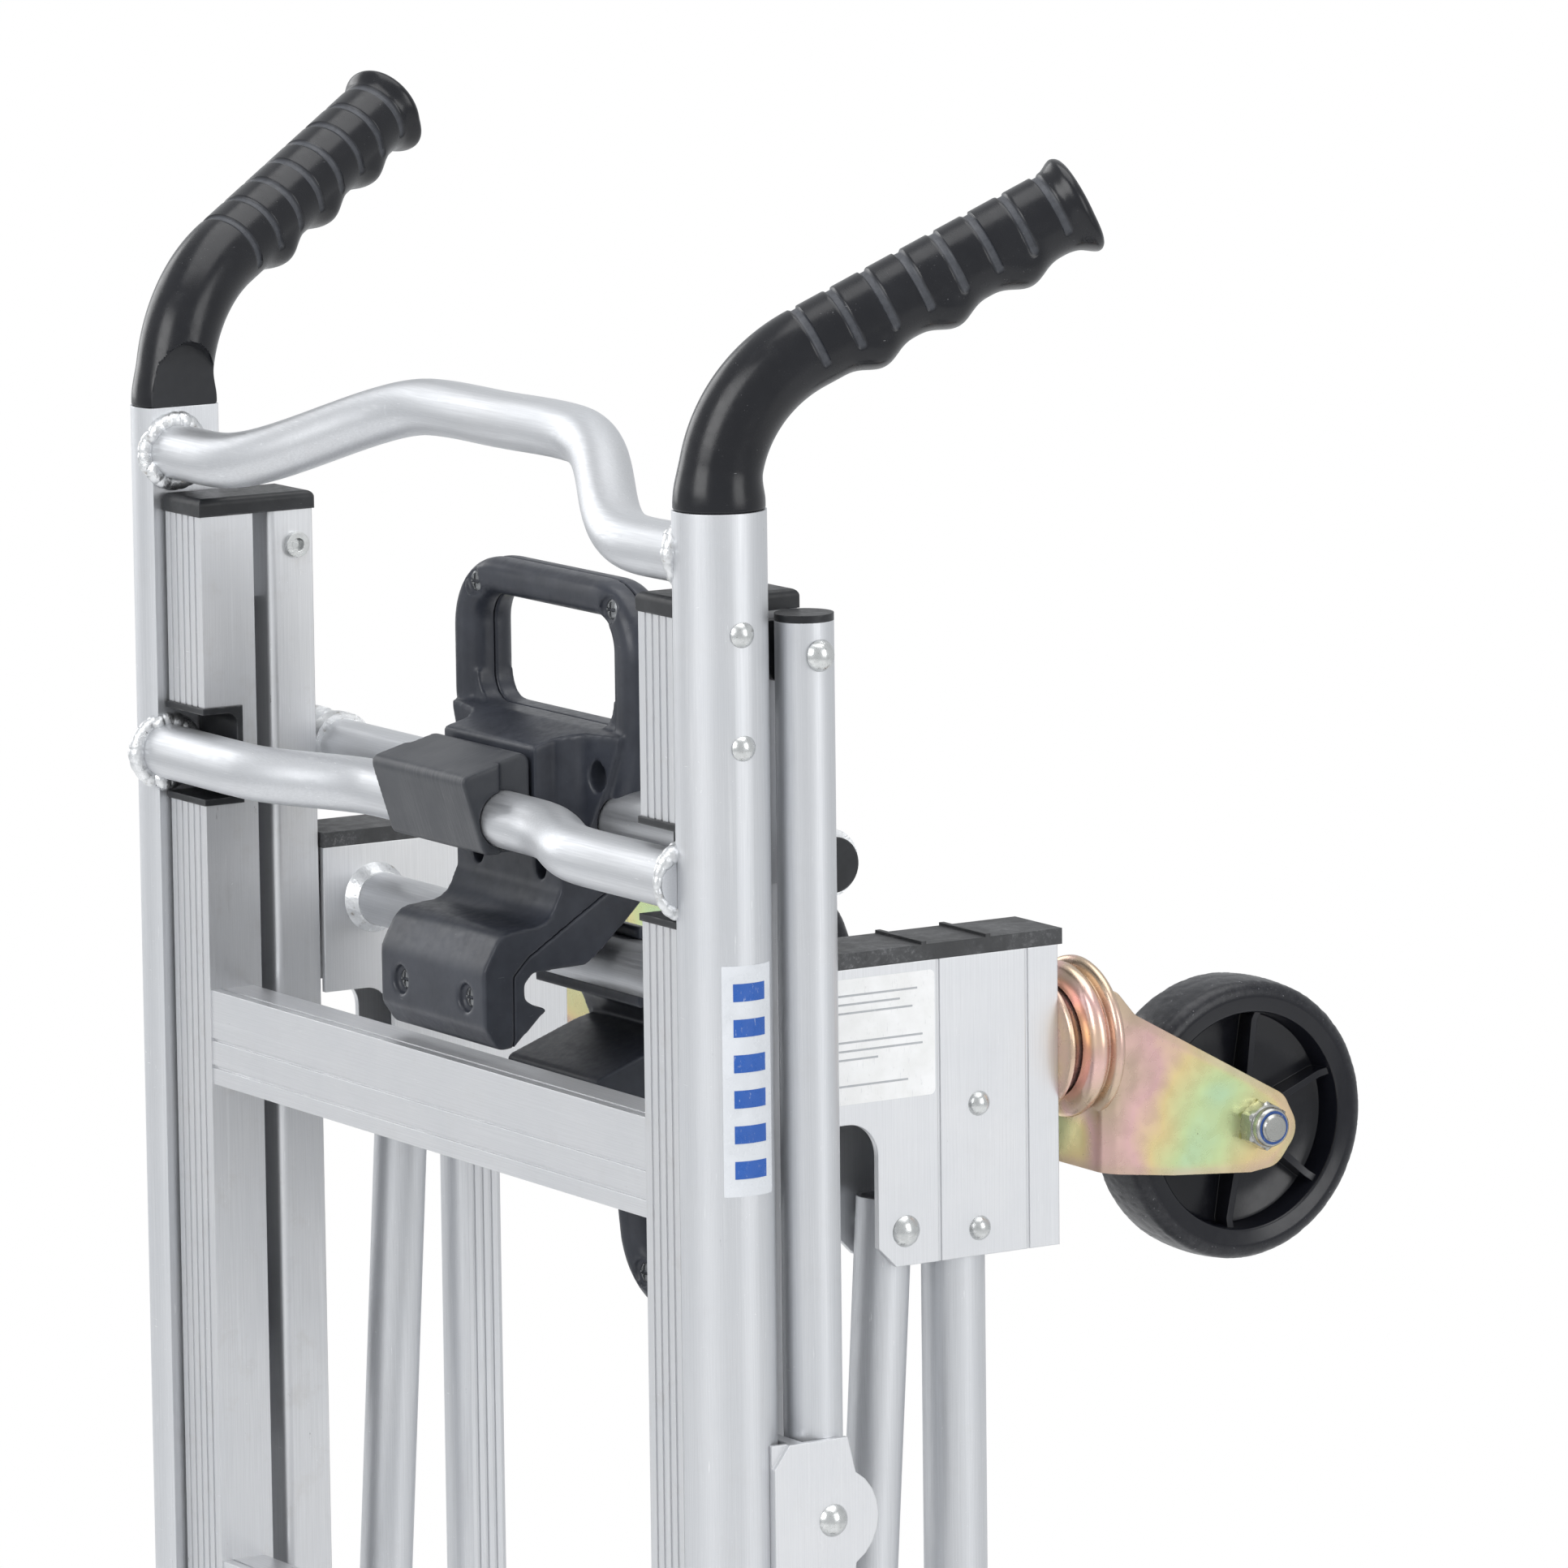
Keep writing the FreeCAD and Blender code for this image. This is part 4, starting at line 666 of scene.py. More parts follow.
def piece(name, part, look, body, covers=(), sharp=32, marks=None):
    """Finish a piece: scale it to metres, give it its look, and let it ride and stand for CAD nodes."""
    mesh = raw_mesh(part) if isinstance(part, tuple) else part
    mesh.name = name
    mesh.materials.clear()
    mesh.materials.append(LOOKS[look])
    for mark, value_at in (marks or {}).items():
        layer = mesh.attributes.new(mark, "FLOAT", "POINT")
        layer.data.foreach_set("value", [value_at(vertex.co) for vertex in mesh.vertices])
    mesh.transform(Matrix.Diagonal((METRE, METRE, METRE, 1)))
    bm = bmesh.new()
    bm.from_mesh(mesh)
    for face in bm.faces:
        face.smooth = True
        face.material_index = 0
    for edge in bm.edges:
        if len(edge.link_faces) == 2 and edge.calc_face_angle(0.0) > math.radians(sharp):
            edge.smooth = False
    bm.to_mesh(mesh)
    bm.free()
    thing = bpy.data.objects.new(name, mesh)
    bpy.context.scene.collection.objects.link(thing)
    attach(thing, body)
    if covers:
        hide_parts(*covers)
    return thing


def ease(value, low, high):
    """Smooth step from 0 at low to 1 at high."""
    share = min(1.0, max(0.0, (value - low) / (high - low)))
    return share * share * (3 - 2 * share)


# ---- grips ----
GRIP_COLLAR = 15.5
GRIP_BODY = 14.05
GRIP_COLLAR_RUN = 15.0
GRIP_FLAT_HEIGHT = 22.0
GROOVE_FIRST = 10.4
GROOVE_PITCH = 13.1
GROOVE_COUNT = 8
GROOVE_HALF_WIDTH = 1.4
GROOVE_DEPTH = 0.8
GROOVE_SPAN = math.radians(112)
FINGER_PITCH = 28.0
FINGER_HEIGHT = 3.8
FLARE_RADIUS = 16.3


def grip_station(distance):
    """Centre and forward direction of the grip's path, distance along it from its lower end."""
    corner = Vector((HANDLE_X, HANDLE_Y, BEND_Z))
    up = Vector((0, 0, 1))
    turn = up.angle(GRIP_DIRECTION)
    tangent = BEND_RADIUS * math.tan(turn / 2)
    straight = BEND_Z - tangent - GRIP_LOW.z
    if distance < straight:
        return Vector((HANDLE_X, HANDLE_Y, GRIP_LOW.z + distance)), up
    outward = (GRIP_DIRECTION - up * GRIP_DIRECTION.z).normalized()
    angle = (distance - straight) / BEND_RADIUS
    if angle < turn:
        centre = Vector((HANDLE_X, HANDLE_Y, BEND_Z - tangent))
        centre += up * BEND_RADIUS * math.sin(angle) + outward * BEND_RADIUS * (1 - math.cos(angle))
        return centre, up * math.cos(angle) + outward * math.sin(angle)
    along = tangent + (distance - straight - BEND_RADIUS * turn)
    return corner + GRIP_DIRECTION * along, GRIP_DIRECTION.copy()


def grip_length():
    turn = Vector((0, 0, 1)).angle(GRIP_DIRECTION)
    tangent = BEND_RADIUS * math.tan(turn / 2)
    return BEND_Z - tangent - GRIP_LOW.z + BEND_RADIUS * turn + GRIP_REACH - tangent


def groove_share(left, angle):
    """1 on the floor of a finger-stop groove; left is the distance from the grip's end."""
    number = round((left - GROOVE_FIRST) / GROOVE_PITCH)
    if not 0 <= number < GROOVE_COUNT:
        return 0.0
    beside = abs(left - GROOVE_FIRST - number * GROOVE_PITCH)
    beyond = max(0.0, (abs(angle) - GROOVE_SPAN)) * GRIP_BODY
    return 1.0 - ease(math.hypot(beside, beyond), GROOVE_HALF_WIDTH - 0.35, GROOVE_HALF_WIDTH + 0.25)


def grip_radius(left, distance, angle):
    collar = 1 - ease(distance, 2.0, GRIP_COLLAR_RUN)
    radius = GRIP_BODY + (GRIP_COLLAR - GRIP_BODY) * collar
    under = ease(-math.cos(angle), math.cos(math.radians(78)), math.cos(math.radians(28)))
    if left < 3.5 * FINGER_PITCH:
        wave = (0.5 + 0.5 * math.cos(math.tau * left / FINGER_PITCH)) ** 1.4
        radius += FINGER_HEIGHT * wave * under
    radius += (FLARE_RADIUS - GRIP_BODY) * (1 - ease(left, 2.5, 8.5)) * (1 - 0.6 * under)
    rim = 3.2
    if left < rim:
        radius -= rim - math.sqrt(max(0.0, rim ** 2 - (rim - left) ** 2))
    if distance < 1.0:
        radius -= 1.0 - math.sqrt(1.0 - (1.0 - distance) ** 2)
    return radius


def build_grip():
    """Vertices, faces, and the groove and flat marks of one grip."""
    length = grip_length()
    spacing = 0.5
    around = 128
    rows = [k * spacing for k in range(int(length / spacing))]
    rows = sorted(set(rows + [0.15, 0.4, 0.7, length - 1.2, length - 0.5, length - 0.1, length]))
    side = Vector((0, 0, 1)).cross(GRIP_DIRECTION).normalized()
    vertices = []
    marks = {"groove": [], "flat": []}
    for distance in rows:
        centre, forward = grip_station(distance)
        upper = side.cross(forward) * -1
        left = length - distance
        for step in range(around):
            angle = math.tau * step / around - math.pi
            groove = groove_share(left, angle)
            radius = grip_radius(left, distance, angle) - GROOVE_DEPTH * groove
            point = centre + (upper * math.cos(angle) + side * math.sin(angle)) * radius
            top = GRIP_LOW.z + GRIP_FLAT_HEIGHT - 9.0 * ((point.y - HANDLE_Y) / 12.0) ** 2
            limit = HANDLE_FLAT - 9.0 * ease(point.z, top, top + 3.0)
            flat = point.x < limit and point.z < top + 1.5
            point.x = max(point.x, limit)
            vertices.append(tuple(point))
            marks["groove"].append(groove)
            marks["flat"].append(1.0 if flat else 0.0)
    faces = ring_faces(len(rows), around)
    faces.append(tuple(range(around - 1, -1, -1)))
    last = (len(rows) - 1) * around
    faces.append(tuple(range(last, last + around)))
    return (vertices, faces), marks


def add_grips():
    part, marks = build_grip()
    for side, sign in SIDES:
        shaped = sided(part, sign)
        mesh = bpy.data.meshes.new("grip")
        mesh.from_pydata(shaped[0], [], shaped[1])
        for mark, values in marks.items():
            mesh.attributes.new(mark, "FLOAT", "POINT").data.foreach_set("value", values)
        piece("grip_moulding_" + side, mesh, "grip", "handle_frame", ("grip_" + side,), 50)


# ---- latches ----
def slot_bore(place, radius, half):
    """Cutter for a bar that runs across through a moulding; place is (y, z)."""
    return cylinder((0, *place), "x", -half, half, radius, 64)


def round_pocket(x, z, y0, y1, radius):
    return cylinder((x, 0, z), "y", y0, y1, radius, 32)


LATCH_HALF = 36.0
LOOP_HALF = 63.0
LOOP_MIDDLE = 54.5
LOOP_SCREW_X = 46.2
NOSE_SCREW_X = 22.5
WEDGE_SIDE = 31.0
PAST_LATCH = 80.0


def loop_ring(root_z, shoulder_z, end_z, y_at, bar_share=1.0):
    """The latch's hand loop: a rounded section swept through two corners, in a nearly upright plane.

    bar_share is the crosswise bar's thickness as a share of the legs' thickness.
    """
    corners = [(-47, root_z), (-LOOP_MIDDLE, shoulder_z), (-LOOP_MIDDLE, end_z), (LOOP_MIDDLE, end_z),
               (LOOP_MIDDLE, shoulder_z), (47, root_z)]
    path = rounded_outline(corners, [0, 18, 19, 19, 18, 0], 10)
    section = rounded_outline([(-8.5, -9.5), (8.5, -9.5), (8.5, 9.5), (-8.5, 9.5)], 6.8, 6)
    vertices = []
    for k, (x, z) in enumerate(path):
        before = Vector(path[max(0, k - 1)])
        after = Vector(path[min(len(path) - 1, k + 1)])
        ahead = (after - before).normalized()
        thickness = 1 - (1 - bar_share) * abs(ahead.x)
        for across, back in section:
            across *= thickness
            vertices.append((x - ahead.y * across, y_at(z) + back, z + ahead.x * across))
    count = len(section)
    ends = [tuple(range(count)), tuple(range(len(vertices) - 1, len(vertices) - count - 1, -1))]
    return vertices, ends + ring_faces(len(path), count)


def latch_front(low, narrow, wide, high, side=LOOP_HALF):
    """Front view of a latch body that widens from the hook to its loop."""
    points = [(-LATCH_HALF, low), (LATCH_HALF, low), (LATCH_HALF, narrow), (side, wide),
              (side, high), (-side, high), (-side, wide), (-LATCH_HALF, narrow)]
    return rounded_outline(points, [4, 4, 16, 16, 0, 0, 16, 16])


def add_shells(name, body, seam, body_name, covers):
    """Split a latch body along its seam and finish both halves."""
    before_seam = prism(seam, "x", -PAST_LATCH, PAST_LATCH)
    front = carved(body.copy(), keeps=[before_seam])
    rear = carved(body, cuts=[before_seam])
    for half, mesh in (("front", front), ("rear", rear)):
        piece(name + "_" + half, softened(mesh, 0.75, 6), "latch", body_name,
              (covers + "_" + half + "_shell",), 60)


def add_upper_latch():
    corners = [(51, 989.5, 3), (70, 989.5, 4), (78, 976, 8), (80, 962, 6), (80, 938, 9), (69.4, 926, 5),
               (53.6, 911.5, 7), (46.9, 906.4, 5), (25, 905.8, 4), (21.5, 901, 4), (22.5, 896.5, 1.5),
               (27, 893.4, 1), (31.5, 893, 0.8), (17, 880, 2), (11.3, 879.6, 4), (5.6, 888, 6),
               (5.4, 908, 11), (13, 921, 9), (32, 922.5, 10), (37.5, 934, 7), (37, 946, 4), (30, 953, 3),
               (30, 984.2, 1)]
    side_view = rounded_outline([(y, z) for y, z, _ in corners], [radius for _, _, radius in corners])
    cuts = [slot_bore(REAR_BAR.yz, REAR_BAR_RADIUS + 0.2, PAST_LATCH)]
    for sign in (-1, 1):
        flank = [(WEDGE_SIDE, 10), (WEDGE_SIDE, 39), (37, 45.5), (80, 52), (80, 10)]
        flank = rounded_outline([(sign * x, y) for x, y in flank], [0, 5, 8, 0, 0])
        cuts.append(prism(flank, "z", 948, 1010))
        cuts.append(prism(oval((sign * 45, 974), 4.2, 5.6), "y", 30, 60))
        cuts.append(prism(oval((sign * 21.5, 941.5), 4.0, 5.4), "y", 20, 45))
        cuts.append(round_pocket(sign * NOSE_SCREW_X, 897.3, -10, 8.2, 5.0))
        back_panel = [(sign * 10, 950), (sign * 40, 956), (sign * 44, 980), (sign * 10, 980)]
        cuts.append(prism(rounded_outline(back_panel, 5), "y", 76.5, 90))
    body = carved(prism(side_view, "x", -LOOP_HALF, LOOP_HALF), cuts=cuts,
                  keeps=[prism(latch_front(860, 944, 986, 1000, 57), "y", -20, 100)])
    opening = rounded_outline([(-46, 989.5), (46, 989.5), (46, 1025), (-46, 1025)], [10, 10, 0, 0])
    body = carved(body, adds=[cuboid((-52, 53, 985), (52, 68, 1000))], cuts=[prism(opening, "y", 40, 90)])
    ring = loop_ring(966, 990, 1035.0, lambda z: 60.5, 0.765)
    pockets = [round_pocket(sign * LOOP_SCREW_X, 1032.1, 40, 53.2, 5.0) for sign in (-1, 1)]
    body = carved(body, adds=[ring], cuts=pockets)
    seam = [(-20, 860), (17, 860), (17.5, 905), (23, 911), (56, 931.5), (60.5, 938), (60.5, 1060),
            (-20, 1060)]
    add_shells("upper_latch", body, rounded_outline(seam, [0, 0, 4, 4, 5, 5, 0, 0]), "upper_latch",
               "upper_latch")
    screws = joined(*[screw(sign * LOOP_SCREW_X, 52.2, 1032.1) for sign in (-1, 1)],
                    *[screw(sign * NOSE_SCREW_X, 7.2, 897.3) for sign in (-1, 1)])
    piece("upper_latch_screw_heads", screws, "screw", "upper_latch", ("upper_latch_screws",))


def screw(x, y, z):
    """Pan head with a cross recess, facing forward, on a short shank."""
    head = [(0.9, 0.0), (0.5, 0.5), (0.25, 1.0), (0.25, 1.6), (0.3, 2.2), (0.5, 2.9), (1.2, 3.9), (2.2, 4.1),
            (2.2, 1.8), (9.0, 1.8), (9.0, 0.0)]
    vertices, faces = turned(head, (x, y, z), "y", 48)
    for index, (px, py, pz) in enumerate(vertices):
        reach = math.hypot(px - x, pz - z)
        if py < y + 1.0 and 0.1 < reach < 2.5 and min(abs(px - x), abs(pz - z)) < 0.5:
            vertices[index] = [px, y + 1.8, pz]
    return vertices, faces


def add_wedge():
    outline = rounded_outline([(0, 976), (29, 983.5), (29, 955), (23, 948), (9, 948)], [3, 4, 3, 3, 3])
    half = 32
    cuts = [slot_bore(LOWER_BAR_PLACE, BAR_RADIUS - 0.2, 60)]
    for sign in (-1, 1):
        near, far = sorted((sign * (half - 2.5), sign * 60))
        cuts.append(prism([(16, 940), (40, 940), (40, 990), (16, 990)], "x", near, far))
    wedge = carved(prism(outline, "x", -half, half), cuts=cuts)
    piece("latch_wedge", softened(wedge, 0.7, 6), "latch_top", "handle_frame",
          ("latch_saddle",), 60)


def add_lower_latch():
    half = LATCH_HALF
    collar = slot_bore(CASTER_BAR.yz, 14.5, half)
    wedge = [(52, 863.5), (82, 874.3), (106, 880), (112, 868), (100, 850), (66, 842)]
    wedge = prism(rounded_outline(wedge, 3), "x", -WEDGE_SIDE, WEDGE_SIDE)
    arm = rounded_outline([(72, 914), (90, 914), (100, 900), (112, 880), (129, 838), (133, 812), (114, 812),
                           (102, 846), (93, 868), (87, 884), (72, 890)],
                          [4, 8, 8, 14, 14, 2, 2, 14, 8, 8, 4])
    arm = carved(prism(arm, "x", -LOOP_HALF, LOOP_HALF),
                 keeps=[prism(latch_front(910, 856, 815, 800), "y", 20, 160)])
    ring = loop_ring(838, 812, 769.5, lambda z: 123.0 + 0.1 * (812 - z))
    screw_z = 774.7
    screw_y = 117.2
    open_front = cuboid((-PAST_LATCH, 40, 880), (PAST_LATCH, 68.6, 930))
    cuts = [open_front, slot_bore(CASTER_BAR.yz, CASTER_BAR_RADIUS + 0.2, PAST_LATCH)]
    for sign in (-1, 1):
        cuts.append(round_pocket(sign * LOOP_SCREW_X, screw_z, 100, screw_y + 2.0, 5.0))
        cuts.append(prism(oval((sign * 45, 828), 4.2, 5.6), "y", 90, 122))
    body = carved(arm, adds=[collar, wedge, ring], cuts=cuts)
    seam = [(20, 740), (128.5, 740), (123, 812), (100, 850), (84, 930), (20, 930)]
    add_shells("lower_latch", body, rounded_outline(seam, [0, 0, 6, 8, 0, 0]), "lower_latch", "lower_latch")
    screws = joined(*[screw(sign * LOOP_SCREW_X, screw_y + 1.0, screw_z) for sign in (-1, 1)])
    piece("lower_latch_screw_heads", screws, "screw", "lower_latch", ("lower_latch_screws",))


# ---- welds ----
def bead(rail_at, seed, girth=3.3, steps=220, ripples=19):
    """A closed lumpy bead; rail_at(angle) gives its centre and the direction away from the joint."""
    rng = random.Random(seed)
    start = rng.random()
    lumps = [rng.uniform(-0.35, 0.35) for _ in range(ripples)]
    vertices = []
    round_steps = 14
    for step in range(steps):
        share = step / steps
        angle = math.tau * share
        centre, outward = rail_at(angle)
        ahead = rail_at(angle + 0.01)[0] - rail_at(angle - 0.01)[0]
        ahead.normalize()
        other = ahead.cross(outward).normalized()
        place = share * ripples + start
        ripple = 0.32 * abs(math.sin(math.pi * place)) ** 0.6
        swell = 0.5 * math.sin(2 * angle + seed) + 0.35 * math.sin(3 * angle + 2 * seed)
        size = girth - 0.3 + ripple + swell + lumps[int(place) % ripples] * 0.4
        for turn in range(round_steps):
            about = math.tau * turn / round_steps
            vertices.append(tuple(centre + (outward * math.cos(about) + other * math.sin(about)) * size))
    return vertices, ring_faces(steps, round_steps, closed=True)


def handle_tube_face(y):
    """X of the handle tube's inner surface at a place across its flat."""
    offset = abs(y - HANDLE_Y)
    if offset < math.sqrt(HANDLE_RADIUS ** 2 - (HANDLE_X - HANDLE_FLAT) ** 2):
        return HANDLE_FLAT
    return HANDLE_X - math.sqrt(max(0.0, HANDLE_RADIUS ** 2 - offset ** 2))


def end_bead(centre_y, centre_z, radius, face_at, seed, girth=3.3):
    """Bead where a bar that runs along X meets a tube whose surface is at face_at(y)."""

    def rail_at(angle):
        y = centre_y + (radius + 0.8) * math.cos(angle)
        z = centre_z + (radius + 0.8) * math.sin(angle)
        outward = Vector((-1, math.cos(angle), math.sin(angle))).normalized()
        return Vector((min(face_at(y), HANDLE_FLAT + 2) - 0.6, y, z)), outward

    return bead(rail_at, seed, girth)


def add_welds():
    upper = end_bead(GRAB_BAR_END[0], GRAB_BAR_END[1], BAR_RADIUS, handle_tube_face, 3, 2.4)
    lower = end_bead(LOWER_BAR_END[0], LOWER_BAR_END[1], BAR_RADIUS, handle_tube_face, 4, 2.3)
    upper_left = mirrored(end_bead(GRAB_BAR_END[0], GRAB_BAR_END[1], BAR_RADIUS, handle_tube_face, 5))
    lower_left = mirrored(end_bead(LOWER_BAR_END[0], LOWER_BAR_END[1], BAR_RADIUS, handle_tube_face, 6))
    piece("handle_bar_welds", joined(upper, lower, upper_left, lower_left), "weld", "handle_frame",
          ("handle_welds",), 70)


# ---- casters ----
CASTER_X = 163.5
SWIVEL_Z = 887.3
FORK_HALF = 19.0
FORK_THICKNESS = 2.8
CASTER_RIBS = 6
CASTER_RIB_TURN = math.radians(21)


def fork_mesh():
    """Stamped sheet bent into a U, with its swivel crown."""
    axle_y, axle_z = CASTER_WHEEL_MIDDLE.y, CASTER_WHEEL_MIDDLE.z
    crown_y, tip_y = 165, 260
    outer = [(-FORK_HALF, tip_y), (-FORK_HALF, crown_y), (FORK_HALF, crown_y), (FORK_HALF, tip_y)]
    inner_half = FORK_HALF - FORK_THICKNESS
    inner_y, past_tip_y = crown_y + FORK_THICKNESS, tip_y + 10
    inner = [(-inner_half, past_tip_y), (-inner_half, inner_y), (inner_half, inner_y),
             (inner_half, past_tip_y)]
    outer = [(CASTER_X + x, y) for x, y in rounded_outline(outer, [0, 7, 7, 0])]
    inner = [(CASTER_X + x, y) for x, y in rounded_outline(inner, [0, 4, 4, 0])]
    side_view = rounded_outline(
        [(164, SWIVEL_Z + 21), (171, SWIVEL_Z + 17.5), (178, SWIVEL_Z + 9.2), (axle_y + 11, axle_z + 9.2),
         (axle_y + 17.5, axle_z - 3.5), (axle_y + 8, axle_z - 15.5), (axle_y - 3, axle_z - 16.8),
         (194, SWIVEL_Z - 48.8), (164, SWIVEL_Z - 45)], [2, 6, 8, 9, 9, 9, 6, 8, 2])
    crown = [(155.8, 20.0), (156.2, 23.4), (157.0, 25.3), (158.2, 26.7), (160.0, 27.3), (161.8, 26.7),
             (163.0, 25.5), (163.6, 24.5), (164.2, 24.5), (164.7, 26.6), (165.3, 27.8), (166.1, 28.3),
             (167.3, 28.3), (168.2, 27.6), (168.4, 26.0), (168.4, 0.0)]
    crown = turned([(160.5, 0.0), (160.5, 18.0), (159.4, 20.0)] + crown, (CASTER_X, 0, SWIVEL_Z), "y", 96)
    sheet = carved(prism(outer, "z", 800, 930), cuts=[prism(inner, "z", 790, 940)],
                   keeps=[prism(side_view, "x", CASTER_X - 40, CASTER_X + 40)])
    return carved(sheet, adds=[crown])


def add_casters():
    axle_y, axle_z = CASTER_WHEEL_MIDDLE.y, CASTER_WHEEL_MIDDLE.z
    fork = fork_mesh()
    bolt = caster_hardware(axle_y, axle_z)
    insert = turned([(27.3, 4.9), (27.3, 6.0), (28.6, 6.0), (28.6, 4.9)], (CASTER_X, axle_y, axle_z), "x",
                    40, closed=True)
    for side, sign in SIDES:
        fork_body = "caster_fork_body_" + side
        piece("caster_fork_sheet_" + side, sided(fork, sign), "chromate", fork_body,
              ("caster_fork_" + side,), 40)
        piece("caster_bolt_" + side, sided(bolt, sign), "axle", fork_body,
              ("caster_axle_" + side,), 28)
        piece("caster_nut_insert_" + side, sided(insert, sign), "insert", fork_body)
        wheel = caster_wheel_mesh(axle_y, axle_z, 11 + sign)
        piece("caster_wheel_moulding_" + side, sided(wheel, sign), "caster", "caster_wheel_body_" + side,
              ("caster_wheel_" + side,), 38,
              {"tread": lambda co: ease(math.hypot(co.y - axle_y, co.z - axle_z), 43.6, 45.6)})
    plate = [(149.3, 0.0), (149.3, 22.4), (149.8, 23.0), (150.8, 23.0), (151.4, 22.0), (152.6, 20.6),
             (154.6, 19.6), (157.4, 18.8), (159.4, 17.0), (159.4, 0.0)]
    seat = turned(plate, (CASTER_X, 0, SWIVEL_Z), "y", 72)
    nut = joined(hex_nut("y", (CASTER_X, 141.8, SWIVEL_Z), 8.4, 5.0),
                 turned([(140.6, 0.0), (140.6, 4.4), (141.2, 5.0), (149.0, 5.0), (149.0, 0.0)],
                        (CASTER_X, 0, SWIVEL_Z), "y", 32))
    seats = joined(seat, nut, mirrored(seat), mirrored(nut))
    piece("caster_swivel_seats", seats, "chromate", "caster_frame", ("caster_raceways",), 30)


def hex_nut(axis, origin, across_corners, thickness):
    """Nut whose corners are chamfered at both faces."""
    flat = across_corners * math.cos(math.pi / 6)

    def hexed(along, radius, angle):
        local = (angle + math.pi / 6) % (math.pi / 3) - math.pi / 6
        return min(radius, flat / math.cos(local))

    profile = [(0.0, 0.0), (0.0, flat), (across_corners * 0.09, across_corners),
               (thickness - across_corners * 0.09, across_corners), (thickness, flat), (thickness, 0.0)]
    return turned(profile, origin, axis, 72, shape=hexed)


def caster_hardware(axle_y, axle_z):
    """Bolt head, lock nut with its round collar, and the bolt's threaded end."""
    origin = (CASTER_X, axle_y, axle_z)
    thread = []
    place = 19.0
    while place < 29.6:
        thread += [(place, 4.95), (place + 0.45, 4.45)]
        place += 0.9
    shank = [(-19.0, 0.0), (-19.0, 4.95)] + thread + [(30.0, 4.2), (30.2, 0.0)]
    collar = [(25.0, 0.0), (25.0, 7.0), (27.4, 6.9), (28.3, 6.5), (28.7, 6.0), (28.4, 5.6), (27.6, 5.3),
              (27.6, 0.0)]
    return joined(turned(shank, origin, "x", 40),
                  hex_nut("x", (CASTER_X + 19.0, axle_y, axle_z), 8.75, 6.4),
                  turned(collar, origin, "x", 48),
                  hex_nut("x", (CASTER_X - 25.2, axle_y, axle_z), 8.75, 6.2),
                  turned([(-25.0, 0.0), (-25.0, 5.6), (-24.6, 6.0), (-24.6, 0.0)], origin, "x", 24))


def caster_wheel_mesh(axle_y, axle_z, seed):
    """Moulded wheel: rounded tread, ring faces, recessed web with thin ribs, and a hub."""
    radius = (CASTER_WHEEL_HIGH.z - CASTER_WHEEL_LOW.z) / 2
    half = (CASTER_WHEEL_HIGH.x - CASTER_WHEEL_LOW.x) / 2
    edge = 5.0
    profile = []
    for k in range(13):
        across = -half + edge + (2 * half - 2 * edge) * k / 12
        profile.append((across, radius - 0.5 * (across / (half - edge)) ** 2))
    shoulder = []
    for k in range(1, 8):
        turn = math.pi / 2 * k / 7
        shoulder.append((half - edge + edge * math.sin(turn), radius - 0.5 - edge + edge * math.cos(turn)))
    well = 38.0
    face = [(half, 43.0), (half - 0.3, 42.4), (half - 0.3, well + 1.0), (half - 0.8, well + 0.3),
            (half - 1.6, well), (3.2, well - 1.0), (2.2, well - 2.4), (2.0, 15.0), (3.0, 12.6), (4.6, 12.0),
            (half - 1.4, 11.2), (half - 0.7, 10.6), (half - 0.5, 9.6), (half - 0.5, 5.6)]
    flank = shoulder + face
    profile += flank + [(-x, r) for x, r in reversed(flank)]
    rough_tread = random.Random(seed).uniform(0, 50)

    def worn(along, reach, angle):
        if reach < 44.8:
            return reach
        place = Vector((along, reach * math.cos(angle), reach * math.sin(angle))) * 0.35
        place.x += rough_tread
        return reach - 0.35 * max(0.0, noise.noise(place)) - 0.12 * noise.noise(place * 4)

    steps = 360
    parts = [turned(profile, (CASTER_X, axle_y, axle_z), "x", steps, closed=True, shape=worn)]
    thick = 1.25
    for k in range(CASTER_RIBS):
        angle = CASTER_RIB_TURN + math.tau * k / CASTER_RIBS
        outline = [(10.5, -half + 2.6), (10.5, half - 2.6), (well - 3, half - 4.2), (well + 0.6, half - 2.4),
                   (well + 0.6, -half + 2.4), (well - 3, -half + 4.2)]
        points, faces = prism(outline, "x", -thick, thick)
        placed = []
        for across, out, along in points:
            y = axle_y + out * math.cos(angle) - across * math.sin(angle)
            z = axle_z + out * math.sin(angle) + across * math.cos(angle)
            placed.append((CASTER_X + along, y, z))
        parts.append((placed, faces))
    return joined(*parts)


# ---- main wheels ----
def tread_cut(across, angle):
    """Depth of the tread pattern at a place on the tyre."""
    if abs(across) > 27:
        return 0.0
    blocks = 40
    depth = 0.0
    for groove in (-12.0, 0.0, 12.0):
        sway = 1.6 * math.sin(blocks * angle) if groove else 0.0
        depth = max(depth, 1 - ease(abs(across - groove - sway), 1.2, 1.9))
    if abs(across) > 14.5:
        phase = (angle * blocks / math.tau + (0.5 if across > 0 else 0.0) + abs(across) * 0.02) % 1.0
        depth = max(depth, (1 - ease(abs(phase - 0.5), 0.07, 0.12)) * ease(abs(across), 15.0, 16.5))
    return 3.0 * depth


